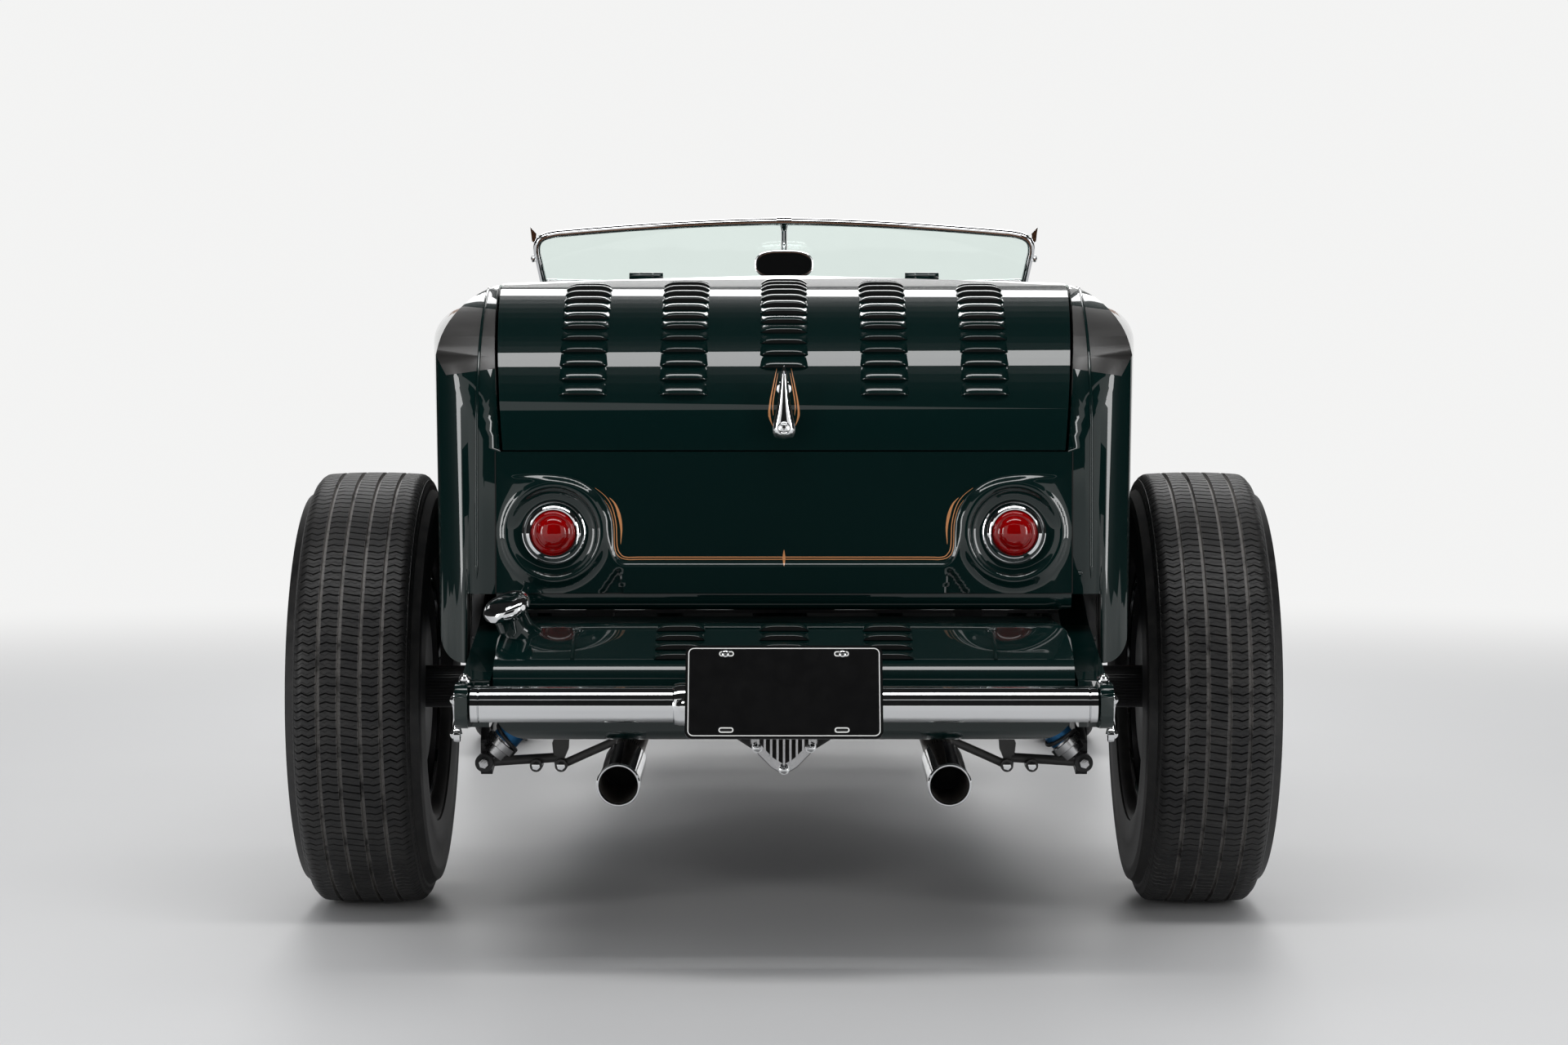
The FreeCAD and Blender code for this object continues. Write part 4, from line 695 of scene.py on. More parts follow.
# %% Tub and deck lid
def trim_tub(bm):
    for face in bm.faces:
        middle, normal = face.calc_center_median(), face.normal
        x, y, z = abs(middle.x) * 1000, middle.y * 1000 + AXLE_BEHIND_MIDDLE, middle.z * 1000
        inward = normal.x * middle.x < 0
        across = abs(normal.y) > 0.7 or normal.z > 0.7
        if 95 < y < 1618 and 625 < z < 1078 and (inward or x < 640 and across):
            face.material_index = 1
        elif 95 < y < 1618 and z <= 625 and x < 640 and normal.z > 0.5:
            face.material_index = 2
        elif z <= 625 and (inward or normal.z < -0.6):
            face.material_index = 3
        elif -470 < y < 100 and z < 1060 and x < 560 and normal.z > -0.2 and (inward or across):
            face.material_index = 3


carry("body_tub", [green_paint, tan_leather, carpet, frame_black], angle=48, change=trim_tub)
carry("deck_lid", green_paint)
print("tub and lid trimmed")
# %% [markdown]
# ## The deck: columns of louvres
# The lid of the luggage space is pressed with five columns of louvres. Each is a small
# hood, raised where the sheet was slit and fading into the panel behind, with pointed ears
# at its ends. One hood is drawn from a formula, its height falling off towards the ears,
# and the tree sets it along paths that lie on the lid. The slot below its lip is a second
# small piece on the same paths: a dark sheet that is painted shade of the opening.

# %% Hood and slot of one louvre
LOUVRE_HALF, LOUVRE_RISE, LOUVRE_LENGTH = 40.0, 9.0, 22.0
LOUVRE_PITCH = 25.0


def hood_rise(share):
    return LOUVRE_RISE * (1 - abs(share) ** 5)


def louvre_hood():
    piece = Piece("hood")
    across = [math.sin(math.pi / 2 * (i / 8 - 1)) for i in range(17)]
    rows = []
    for back, share in ((-0.4, -1.0), (-1.2, -0.6), (-1.7, 0.0), (-1.2, 0.55), (0.6, 0.9)):
        lift = 0.6 * (share + 1) - 1.2
        rows.append([Vector((LOUVRE_HALF * u, back - 0.4, hood_rise(u) + lift)) / 1000 for u in across])
    for step in range(1, 8):
        t = step / 7
        fall = math.cos(t * math.pi / 2) ** 0.85 if t < 1 else 0.0
        rows.append([Vector((LOUVRE_HALF * u * (1 - 0.06 * t), LOUVRE_LENGTH * t,
                             max(hood_rise(u) * fall, 0) - 0.5 * t)) / 1000 for u in across])
    return piece.grid(rows)


# The slot is a dark sheet just under the lip: painted shade where the louvre opens.
def louvre_slot():
    across = [i / 6 - 1 for i in range(13)]
    low = [Vector((LOUVRE_HALF * 0.98 * u, -0.9, -0.3)) / 1000 for u in across]
    high = [Vector((LOUVRE_HALF * 0.98 * u, -0.8, max(hood_rise(u) - 1.0, -0.2))) / 1000 for u in across]
    return Piece("slot").grid([low, high])


print("a louvre has", len(louvre_hood().faces), "faces and its slot", len(louvre_slot().faces))

# %% [markdown]
# The lid's side view is an upright, an arc over the tail, a wider arc onto the deck and a
# gentle straight. Walking that line gives each louvre its foot, and near the top the
# crowned sheet lies a little lower towards the sides, so the lower of the two is taken.

# %% Louvres on the deck lid
DECK_ARCS = ((262.0, 45.0), (330.0, 33.0))  # radius and degrees of turn, from the tail up
UPRIGHT_TOP = 3.5
# y, half width, height at the side and height in the middle of the crowned top
TOP_AT_TAIL, TOP_AT_COCKPIT = (-500.0, 594.0, 1082.0, 1101.0), (50.0, 603.0, 1096.0, 1115.0)


def deck_point(x, run):
    """A point of the lid's outside, at a run up the side view from the upright tail."""
    y, z, lean = -500.0, 823.0 + min(run, UPRIGHT_TOP), math.pi / 2
    run = max(run - UPRIGHT_TOP, 0.0)
    for radius, turn in DECK_ARCS:
        swing = min(run / radius, math.radians(turn))
        y += radius * (math.sin(lean) - math.sin(lean - swing))
        z += radius * (math.cos(lean - swing) - math.cos(lean))
        lean -= swing
        run -= swing * radius
    y, z = y + run * math.cos(lean), z + run * math.sin(lean)
    low, high = TOP_AT_TAIL, TOP_AT_COCKPIT
    share = (y - low[0]) / (high[0] - low[0])
    side = low[2] + (high[2] - low[2]) * share
    middle = low[3] + (high[3] - low[3]) * share
    return y, min(z, middle + (side - middle) * abs(x) / low[1])


# x, first row and number of louvres of each column: the middle one starts above the handle
DECK_COLUMNS = ((-332.0, 0, 14), (-166.0, 0, 14), (0.0, 2, 12), (166.0, 0, 14), (332.0, 0, 14))
FIRST_LOUVRE = 94.0
louvre_lines = []
for x, first, count in DECK_COLUMNS:
    stops = [deck_point(x, FIRST_LOUVRE + LOUVRE_PITCH * row) for row in range(first, first + count)]
    louvre_lines.append([at(x, y, z) for y, z in stops])
spacing = LOUVRE_PITCH / 1000 * 0.9985  # a path of chords is a little shorter than its arc
# the slots wear the near-black finish, painted shade under each lip of deck, tank and hood louvres
LOUVRE_PARTS = (("hoods", louvre_hood(), green_paint), ("slots", louvre_slot(), dark_gap))
for label, shape, finish in LOUVRE_PARTS:
    small = seed("deck_" + label, shape)
    mesh = along_paths.grow(paths_mesh(louvre_lines), Piece=small, Spacing=spacing, Material=finish)
    grown("deck_louvre_" + label, mesh, "deck_lid", finish)
print("deck louvres", sum(c for _, _, c in DECK_COLUMNS))
# %% [markdown]
# ## The tail panel
# Below the lid the tail is one pressing. Its lower and outer part stands a few millimetres
# proud along a line that dips round each lamp, and each lamp sits in a shallow dish. The
# panel is drawn as a field of heights over X and Z: distance to the swaged line gives the
# step, distance to the lamp gives the dish.

# %% Heights of the tail panel
SWAGE = ((474.0, 800.0), (455.0, 776.0), (398.0, 774.0), (345.0, 765.0), (313.0, 745.0), (295.0, 716.0),
         (291.0, 690.0), (289.0, 664.0), (282.0, 643.0), (268.0, 631.0), (240.0, 630.0), (0.0, 630.0))
APRON_RISE, LAMP_X, LAMP_Z = 5.0, 379.0, 688.0
swage_line = [Vector((x, z, 0)) for x, z in SWAGE]
swage_fine = [Vector((p.x, p.y, 0)) for p in smooth_path(swage_line, 6)]


def smooth_step(value, low, high):
    t = min(max((value - low) / (high - low), 0.0), 1.0)
    return t * t * (3 - 2 * t)


def signed_distance(x, z):
    """Distance in millimetres to the swaged line, positive on the proud side."""
    here = Vector((x, z, 0))
    nearest, side = 1e9, 1.0
    for a, b in zip(swage_fine, swage_fine[1:]):
        run = b - a
        share = min(max((here - a).dot(run) / run.length_squared, 0.0), 1.0)
        gap = (here - a - run * share).length
        if gap < nearest:
            nearest, side = gap, run.x * (here.y - a.y) - run.y * (here.x - a.x)
    return nearest if side > 0 else -nearest


def tail_rise(x, z):
    """How far the tail's skin stands behind the flat of the panel."""
    x = abs(x)
    rise = (APRON_RISE + 0.5) * smooth_step(signed_distance(x, z), -11.0, 0.0)
    rise *= 1 - smooth_step(x, 417.0, 474.0)
    to_lamp = math.hypot(x - LAMP_X, z - LAMP_Z)
    lip = math.exp(-((to_lamp - 79.0) / 9.0) ** 2) * 5.0
    dish = smooth_step(to_lamp, 54.0, 77.0)
    return 0.4 + (rise + lip) * dish


tail = Piece("tail_panel_skin")
columns = [-474 + 948 * i / 316 for i in range(317)]
levels = [587.5 + (820.5 - 587.5) * i / 92 for i in range(93)]
tail.grid([[at(x, -500 - tail_rise(x, z), z) for x in columns] for z in levels])
tail.done("car", green_paint, slots["body_tub"], angle=60, outward=(0, -1, 0))
print("tail panel", len(tail.faces), "faces")

# %% [markdown]
# The panel is let into the body: a fine dark joint runs down each side and across the
# bottom, where the sheet rolls under towards the frame.

# %% Joints and the rolled lower edge
joints = Piece("tail_panel_joints")
for sign in (-1, 1):
    x = sign * 475.2
    joints.grid([[at(x - 0.9, -500.9, z), at(x + 0.9, -500.9, z)] for z in (587.0, 705.0, 821.0)])
joints.grid([[at(x, -500.9, 586.2), at(x, -500.9, 587.8)] for x in (-476.0, 0.0, 476.0)])
joints.done("car", dark_gap, slots["body_tub"], angle=60, outward=(0, -1, 0))
roll = Piece("tail_rolled_edge")
PAN = ((-500.7, 586.0), (-500.4, 578.0), (-498.2, 570.5), (-493.0, 564.0), (-485.5, 560.0), (-474.0, 558.0),
       (-455.0, 558.0))
roll.grid([[at(x, y, z) for y, z in PAN] for x in [-474 + 948 * i / 12 for i in range(13)]])
roll.done("car", green_paint, slots["body_tub"], angle=60, outward=(0, -1, 0))

# %% [markdown]
# ## Tail lamps
# A stepped chrome ring holds a thick red lens. The lens is a bullseye: a tall dome in the
# middle, a shallow moat round it and a rim that rounds over into the ring.

# %% Rings and lenses
LAMP_RING = [(0.5, 52.4), (3.0, 52.8), (5.4, 52.0), (6.2, 50.6), (5.6, 49.6), (6.4, 48.9), (9.6, 48.0),
             (13.4, 45.8), (16.4, 42.8), (18.0, 39.8), (17.8, 37.6), (15.6, 36.5), (6.0, 36.3), (0.5, 36.3),
             (0.5, 52.4)]
LENS_RIM = [(16.5, 35.9), (19.6, 34.6), (21.6, 32.0), (22.2, 29.6), (21.6, 27.6), (22.6, 25.8)]
dome = [(22.6 + 11.2 * math.sin(a), 25.8 * math.cos(a)) for a in (math.pi / 2 * i / 9 for i in range(1, 10))]
for side, word in ((-1, "left"), (1, "right")):
    foot = at(side * LAMP_X, -500, LAMP_Z)
    ring = Piece("tail_lamp_ring_" + word)
    ring.turned(LAMP_RING, foot, (0, -1, 0), steps=96)
    ring.done("car", chrome, slots["tail_lamp_bezels"], ["tail_lamp_bezels"], angle=28)
    lens = Piece("tail_lamp_lens_" + word)
    lens.turned([(6.0, 0.0), (6.0, 35.9)] + LENS_RIM + dome[:-1] + [(33.8, 0.0)], foot, (0, -1, 0), steps=80)
    lens.done("car", ruby_glass, slots["tail_lamp_lenses"], ["tail_lamp_lenses"], angle=30)
    back = Piece("tail_lamp_reflector_" + word)
    back.turned([(0.9, 36.0), (1.2, 30.0), (3.0, 14.0), (4.5, 6.0), (4.5, 0.0)], foot, (0, -1, 0), steps=48)
    back.done("car", chrome, slots["tail_lamp_bezels"], angle=50, outward=(0, -1, 0))
print("tail lamps ready")

# %% [markdown]
# ## Pinstripes
# The stripes are ribbons of thick paint, laid by hand with a long brush: two thin lines
# across the tail that rise beside the lamps, a leaf along each rise and a small diamond in
# the middle. On the lid a flame licks up each side of the handle. Each ribbon is a row of
# widths along a path and lies on the skin it decorates.

# %% Brush strokes
def stroke(piece, path, widths, skin):
    """A ribbon along (x, z) points in millimetres; skin gives the y of the panel there."""
    points = smooth_path([Vector((x, z, 0)) for x, z in path], 6)
    count = len(points)
    left, right = [], []
    for i, p in enumerate(points):
        run = (points[min(i + 1, count - 1)] - points[max(i - 1, 0)]).normalized()
        across = Vector((-run.y, run.x, 0))
        place = i / (count - 1) * (len(widths) - 1)
        k = min(int(place), len(widths) - 2)
        half = (widths[k] + (widths[k + 1] - widths[k]) * (place - k)) / 2
        for row, sign in ((left, -1), (right, 1)):
            q = p + across * sign * half
            row.append(at(q.x, skin(q.x, q.y) - 0.25, q.y))
    piece.grid([left, right])


def tail_skin(x, z):
    return -500 - tail_rise(x, z)


RISE_LINE = ((-311.0, 761.0), (-294.0, 747.0), (-283.0, 729.0), (-276.5, 702.0), (-275.0, 667.0),
             (-270.5, 653.5), (-260.0, 646.8), (-230.0, 646.8), (-120.0, 646.8), (0.0, 646.8))
SECOND_LINE = ((-296.0, 741.0), (-287.0, 727.0), (-280.5, 702.0), (-279.0, 664.0), (-273.0, 649.0),
               (-259.0, 643.2), (-230.0, 643.2), (-120.0, 643.2), (0.0, 643.2))
LEAF = ((-287.5, 745.0), (-278.0, 734.0), (-271.5, 716.0), (-268.0, 694.0), (-269.0, 668.0))
stripes = Piece("tail_pinstripes")
for sign in (1, -1):
    for line, widths in ((RISE_LINE, (0.5, 1.5, 1.6, 1.6, 1.6)), (SECOND_LINE, (0.4, 1.3, 1.4, 1.4, 1.4)),
                         (LEAF, (0.4, 3.0, 5.2, 3.4, 0.4))):
        stroke(stripes, [(x * sign, z) for x, z in line], widths, tail_skin)
diamond = [(0.0, 632.5), (0.0, 645.0), (0.0, 659.0)]
stroke(stripes, diamond, (0.5, 5.2, 0.5), lambda x, z: tail_skin(x, z) - 0.1)
stripes.done("car", copper_stripe, slots["body_tub"], angle=60, outward=(0, -1, 0))


def lid_skin(x, z):
    """y of the deck lid at a height on its first arc."""
    return -238.0 - math.sqrt(max(262.0 ** 2 - (z - 826.5) ** 2, 1.0)) - 0.2


OUTER_FLAME = ((18.0, 862.0), (24.0, 880.0), (22.5, 903.0), (17.5, 930.0), (12.0, 958.0))
INNER_FLAME = ((17.5, 880.0), (18.5, 898.0), (14.5, 925.0), (10.0, 950.0))
flames = Piece("handle_flames")
for sign in (1, -1):
    for line, widths in ((OUTER_FLAME, (0.4, 3.8, 2.6, 1.8, 0.4)), (INNER_FLAME, (0.4, 2.0, 1.6, 0.4))):
        stroke(flames, [(sign * x, z) for x, z in line], widths, lid_skin)
flames.done("deck_lid", copper_stripe, slots["deck_lid"], angle=60, outward=(0, -1, 0))

# %% [markdown]
# ## The deck handle
# A cast and plated teardrop: thin at the top, swelling to a round boss that carries a plain
# lock. Every cross-section is an ellipse, and only its half-widths change on the way down.

# %% Teardrop handle with a plain lock
# height, half width and depth of each cross-section
HANDLE = ((961.5, 0.8, 2.0), (957.0, 3.0, 4.5), (945.0, 5.2, 6.5), (925.0, 7.6, 8.2), (902.0, 10.4, 9.2),
          (882.0, 14.0, 9.8), (868.0, 17.4, 10.2), (858.0, 18.8, 10.2), (850.0, 16.4, 9.0),
          (846.0, 10.5, 6.5), (844.5, 2.0, 2.0))
handle = Piece("deck_handle_body")
rows = []
for z, half_width, depth in HANDLE:
    rows.append([at(half_width * math.cos(a), -523.0 - depth * math.sin(a), z)
                 for a in (2 * math.pi * i / 28 for i in range(28))])
handle.grid(rows, closed=True)
handle.faces += [list(range(28))[::-1], [len(handle.corners) - 28 + i for i in range(28)]]
handle.marks += [0, 0]
for z, reach in ((866.0, -496.0), (925.0, -478.0)):
    handle.tube([at(0, -516, z), at(0, reach, z)], 7.5, sides=20)
    foot = at(0, lid_skin(0, z) + 0.6, z)
    handle.turned([(0, 12.5), (2.5, 12.5), (4.5, 10.0), (5.0, 7.4)], foot, (0, -1, 0), steps=32)
lock = at(0, -532.6, 860)
handle.turned([(0, 10.5), (1.6, 10.2), (2.4, 8.8), (1.5, 7.6), (1.2, 6.4), (2.2, 5.4), (2.6, 0)], lock,
              (0, -1, 0), steps=40)
handle.done("deck_lid", chrome, slots["deck_handle"], ["deck_handle"], angle=50)
# The keyway is a thin dark plate: painted shade of the key slot.
keyway = Piece("lock_keyway")
slit = [lock + Vector((x, -2.8, z)) / 1000 for x, z in ((-0.7, -3.4), (0.7, -3.4), (0.7, 3.4), (-0.7, 3.4))]
keyway.plate(slit, Vector((0, -0.0003, 0)))
keyway.done("deck_lid", dark_gap, slots["deck_handle"])
print("handle ready")
# %% [markdown]
# ## Lines along the body
# A crease follows the lid's side gap a little outside it, down the tail and along the
# deck, and a leather roll covers the sheet's edge behind the seat. They could be cut into
# the shell, but its fine mesh is easier left alone: rays find the sheet, and a slim bead
# is laid along the places that they hit.

# %% Beads laid on the shell
def skin_of(*nodes):
    corners, faces = [], []
    for node in nodes:
        data = frame["nodes"][node].data
        start = len(corners)
        corners += [v.co.copy() for v in data.vertices]
        faces += [tuple(start + i for i in p.vertices) for p in data.polygons]
    return BVHTree.FromPolygons(corners, faces)


tub_skin = skin_of("body_tub")


def laid_bead(piece, starts, towards, radius, lift=0.3):
    """A bead through the places where rays from the starts first meet the shell."""
    path = []
    for start, heading in zip(starts, towards):
        hit = tub_skin.ray_cast(start, heading)[0]
        if hit is not None and (not path or (hit - path[-1]).length > 0.004):
            path.append(hit - heading * lift / 1000)
    if len(path) > 3:
        ends = [0.3] + [1.0] * (len(path) - 2) + [0.3]
        piece.tube(path, [radius * e for e in ends], sides=10)


creases = Piece("body_creases")
hub = at(0, -180, 780)
for sign in (-1, 1):
    starts, towards = [], []
    for i in range(70):
        a = math.radians(-28 + 116 * i / 69)
        heading = Vector((0, math.cos(a), -math.sin(a)))
        starts.append(Vector((sign * (507 - 0.03 * i) / 1000, hub.y, hub.z)) - heading * 0.9)
        towards.append(heading)
    laid_bead(creases, starts, towards, 2.6)
creases.done("car", green_paint, slots["body_tub"], angle=70)
trim = Piece("cockpit_edge_trim")
rim = []
for i in range(61):
    x = -560 + 1120 * i / 60
    hit = tub_skin.ray_cast(at(x, 86, 1500), Vector((0, 0, -1)))[0]
    if hit is not None:
        rim.append(hit + Vector((0, 0, 0.001)))
trim.tube(smooth_path(rim, 2), 5.5, sides=12)
trim.done("car", black_leather, slots["body_tub"], angle=70)
print("body lines laid,", len(creases.corners), "and", len(rim), "corners")
# %% [markdown]
# ## Tyres
# A tyre is a carcass turned from one outline and a tread made of pitches: a short length of
# five ribs between four grooves, its edges cut by wavy slits. One pitch is modelled flat on
# the crown and the tree turns it round the axle until the pitches close up. The ribs'
# finer cuts are left to the rubber's own bump.

# %% One pitch of tread, and the carcass
PITCHES = {"rear": 84, "front": 72}
# radius, half width, half of the tread's width, rim's radius and half width at the bead
SIZES = {"rear": (387.0, 117.0, 86.0, 203.2, 86.0), "front": (337.0, 82.5, 60.0, 190.5, 64.0)}
GROOVE_DEPTH, SLIT_DEPTH, SHOULDER_SLIT = 7.5, 3.4, 2.2


def crown_drop(across, half):
    """The tread's crown: how far the road surface falls from the middle to the shoulder."""
    return 3.2 * (abs(across) / half) ** 2.2


def tread_pitch(end):
    """One pitch round the X axis: ribs, grooves and shoulder blocks as one sheet."""
    radius, _, half, _, _ = SIZES[end]
    step = 2 * math.pi / PITCHES[end]
    groove = half * 0.040
    stations = []
    for sign in (-1, 1):
        for middle in (half * 0.21, half * 0.62):
            stations += [(sign * (middle - groove), 0.0), (sign * (middle - groove * 0.55), GROOVE_DEPTH),
                         (sign * (middle + groove * 0.55), GROOVE_DEPTH), (sign * (middle + groove), 0.0)]
    stations += [(share * half, 0.0) for share in (-0.8, -0.45, -0.36, 0.0, 0.36, 0.45, 0.8)]
    for sign in (-1, 1):
        stations += [(sign * half * 0.93, 0.0), (sign * half * 0.985, 0.6), (sign * (half + 4), 4.0),
                     (sign * (half + 9), 10.5), (sign * (half + 13.5), 20.5)]
    stations.sort()
    rows = []
    for t in (0.0, 0.20, 0.25, 0.30, 0.70, 0.75, 0.80, 1.0):
        cut = t in (0.25, 0.75)
        row = []
        for across, depth in stations:
            angle = (t - 0.5 + 0.09 * math.sin(across * 0.30)) * step
            shoulder = abs(across) > half * 0.97
            slit = SLIT_DEPTH if cut and depth < 1.0 else (SHOULDER_SLIT if cut and shoulder else 0.0)
            r = radius - crown_drop(min(abs(across), half), half) - depth - slit
            row.append(Vector((across, r * math.sin(angle), r * math.cos(angle))) / 1000)
        rows.append(row)
    return Piece("pitch").grid(rows)


def carcass_outline(end):
    radius, half_width, half, rim, bead = SIZES[end]
    shoulder = radius - 25.0
    low, high = rim + 17.0, radius - 52.0
    right = [(half - 4, radius - 12), (half + 9.5, radius - 13.5), (half + 13.2, shoulder + 1),
             (half + 13.8, shoulder - 6), (half_width - 3.2, high + 12), (half_width - 1.2, high - 2),
             (half_width - 1.0, high - 4), (half_width - 1.0, high - 10), (half_width - 2.2, high - 13),
             (half_width - 0.2, (low + high) / 2 + 8), (half_width - 0.6, (low + high) / 2 - 12),
             (half_width - 5.5, low + 22), (half_width - 8.5, low + 20.5), (half_width - 12.0, low + 12),
             (bead + 9.0, low + 3), (bead + 2.0, low - 1.0), (bead, rim + 14.8), (bead, rim + 0.8)]
    inside = [(bead - 12, rim + 0.8), (half_width - 15, low + 40), (half - 4, radius - 34)]
    left = [(-a, r) for a, r in reversed(right + inside)]
    return right + inside + left + right[:1]


def dress_tread_map(mesh, half):
    """The map that the tread rubber reads: share of a turn, and hundredths of the half width."""
    layer = mesh.uv_layers.new(name="round_and_across")
    place = np.empty(len(mesh.vertices) * 3)
    mesh.vertices.foreach_get("co", place)
    place = place.reshape(-1, 3)
    corner = np.empty(len(mesh.loops), dtype=np.int64)
    mesh.loops.foreach_get("vertex_index", corner)
    turn = np.arctan2(place[:, 1], place[:, 2]) / (2 * math.pi) + 0.5
    u, v = turn[corner], place[corner, 0] * 1e5 / half
    starts = np.array([p.loop_start for p in mesh.polygons])
    totals = np.array([p.loop_total for p in mesh.polygons])
    owner = np.repeat(np.arange(len(starts)), totals)
    low = np.minimum.reduceat(u, starts)
    high = np.maximum.reduceat(u, starts)
    u = np.where((high - low)[owner] > 0.5, np.where(u < 0.5, u + 1, u), u)
    layer.data.foreach_set("uv", np.column_stack([u, v]).astype(np.float32).ravel())


def wheel_centre(node):
    low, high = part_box(node)
    return (Vector(low) + Vector(high)) / 2


treads = {}
for end in ("rear", "front"):
    pitch = seed("pitch_" + end, tread_pitch(end))
    treads[end] = round_axle.grow(paths_mesh([]), Piece=pitch, Count=PITCHES[end], Material=tread_rubber)
for end in ("rear", "front"):
    for side in ("left", "right"):
        node = end + "_tyre_" + side
        body = end + "_wheel_" + side
        centre = wheel_centre(node)
        radius = SIZES[end][0]
        centre.z = radius / 1000
        mesh = treads[end].copy()
        dress_tread_map(mesh, SIZES[end][2])
        grown(node + "_tread", mesh, body, tread_rubber, [node],
              Matrix.Translation(centre), 38, True)
        wall = Piece(node + "_carcass").turned(carcass_outline(end), centre, (1, 0, 0), steps=120)
        wall.done(body, tyre_rubber, slots[node], [node], angle=34)
print("tyres", {end: len(mesh.polygons) for end, mesh in treads.items()})

# %% [markdown]
# ## Wheels
# Pressed steel wheels in black, with a polished beauty ring clipped into the rim and a
# plain domed cap. The wheel itself keeps the solid's section; the ring, the cap, the lug
# nuts and the vent slots near the rim are added, and repeats are turned round the axle by
# a tree.

# %% Beauty rings, caps, lug nuts and vent slots
RIM_OUT = {"rear": (92.0, 203.2), "front": (70.0, 190.5)}  # half width and radius of the rim
NUTS, VENTS = 5, 12
CAP = [(37, 79.5), (41, 78), (42, 74), (40.5, 71), (42.5, 66), (50, 53), (56, 36), (58.6, 18), (59.2, 0),
       (37, 0), (37, 79.5)]


def hexagon(radius, depth, dome):
    nut = Piece("nut")
    flats = [Vector((0, radius * math.cos(a), radius * math.sin(a))) / 1000
             for a in (math.pi / 3 * i for i in range(6))]
    nut.plate(flats, Vector((depth / 1000, 0, 0)), soften=0.7)
    crown = [(depth, radius * 0.8), (depth + dome * 0.7, radius * 0.55), (depth + dome, 0)]
    nut.turned(crown, Vector(), (1, 0, 0), steps=12)
    return nut


def moved(piece, shift):
    piece.corners = [tuple(Vector(c) + shift) for c in piece.corners]
    return piece


def vent_slot():
    """A flat oval near the rim; in its dark finish it is painted shade where a vent hole would show."""
    oval = [Vector((0, math.cos(a) * 17, math.sin(a) * 5 + 128)) / 1000
            for a in (2 * math.pi * i / 20 for i in range(20))]
    return Piece("vent").plate(oval, Vector((0.0012, 0, 0)))


def beauty_ring(name, half, rim, centre, axis):
    """The bright ring clipped into the rim, and the rim's bright inner lip."""
    trim = Piece(name)
    trim.turned([(half + 0.6, rim + 12.5), (half + 2.6, rim + 8), (half + 1.6, rim + 1),
                 (half - 6, rim - 7.5), (half - 22, rim - 11), (half - 30, rim - 20), (half - 31, rim - 27),
                 (half - 33, rim - 27.5), (half - 33, rim - 21), (half - 25, rim - 10),
                 (half + 0.6, rim + 12.5)], centre, axis, steps=112)
    trim.turned([(-half - 0.5, rim + 12.8), (-half - 1.6, rim + 7), (-half - 0.4, rim - 3.5),
                 (-half + 3, rim - 6.5), (-half + 5, rim - 6), (-half + 1, rim + 1),
                 (-half - 0.5, rim + 12.8)], centre, axis, steps=112)
    return trim


def turned_repeat(label, node, shape, count, finish, centre, sign, out):
    """Copies round the axle, standing out millimetres outside the wheel's middle."""
    ring = round_axle.grow(paths_mesh([]), Piece=seed(node + "_seed", shape), Count=count, Material=finish)
    turn = Matrix.Translation(centre + Vector((sign * out / 1000, 0, 0))) @ Matrix.Scale(sign, 4, (1, 0, 0))
    grown(node + label, ring, node, finish, [], turn, 30)


for end in ("rear", "front"):
    half, rim = RIM_OUT[end]
    for side, sign in (("left", -1), ("right", 1)):
        node = end + "_wheel_" + side  # the wheel's body has the same name
        carry(node, black_steel, angle=28)
        centre = wheel_centre(node)
        axis = (sign, 0, 0)
        trim = beauty_ring(node + "_beauty_ring", half, rim, centre, axis)
        trim.done(node, chrome, slots[node], [], angle=30)
        cap = Piece(node + "_cap").turned(CAP, centre, axis, steps=72)
        cap.done(node, chrome, slots[node], [], angle=26)
        nut = moved(hexagon(11.0, 16.0, 5.0), Vector((0, 0, 0.096)))
        turned_repeat("_lug_nuts", node, nut, NUTS, chrome, centre, sign, 11.0)
        # the vents are dark ovals: painted shade of the holes
        turned_repeat("_vents", node, vent_slot(), VENTS, dark_gap, centre, sign, 24.5)
print("wheels dressed")
# %% [markdown]
# ## Fuel tank
# The tank sits across the frame behind the body. Its lid slopes down to the back and is
# pressed with a raised bead that follows its edge and three short columns of louvres.

# %% Tank skin, bead and louvres
TANK_SLOPE = ((-740.0, 483.0), (-610.0, 545.0))
carry("fuel_tank", green_paint)


def tank_place(x, run, lift=0.0):
    """A place on the slope, run millimetres up from its lower edge."""
    share = run / math.dist(*TANK_SLOPE)
    y = TANK_SLOPE[0][0] + (TANK_SLOPE[1][0] - TANK_SLOPE[0][0]) * share
    z = TANK_SLOPE[0][1] + (TANK_SLOPE[1][1] - TANK_SLOPE[0][1]) * share
    return at(x, y - lift * 0.43, z + lift * 0.90)


bead = Piece("tank_bead")
BEAD = ((-335, 28), (-335, 104), (-327, 121), (-310, 129), (0, 130), (310, 129), (327, 121), (335, 104),
        (335, 28))
path = smooth_path([tank_place(x, run, 0.5) for x, run in BEAD], 7)
bead.tube(path, 3.4, sides=10, flat=(Vector((0, -0.43, 0.90)), 0.75))
bead.done("car", green_paint, slots["fuel_tank"], angle=70)
TANK_LOUVRE_PITCH = 0.0225
paths = [[tank_place(x, run, 1.4) for run in (30, 48, 66, 84, 102, 120)] for x in (-166, 0, 166)]
for label, shape, finish in LOUVRE_PARTS:
    small = seed("tank_" + label, shape)
    mesh = along_paths.grow(paths_mesh(paths), Piece=small, Spacing=TANK_LOUVRE_PITCH, Material=finish)
    grown("tank_louvre_" + label, mesh, "car", finish, [], Matrix.Identity(4), 50)
print("tank ready")

# %% [markdown]
# ## Filler, spreader bar and plate
# The filler neck leans back out of the tank's corner under a wide bevelled cap. The bar
# joins the frame horns, with a turned collar and a clamp for the plate. The plate is
# blank: a thin pale line round its edge, four slots and two bolts.

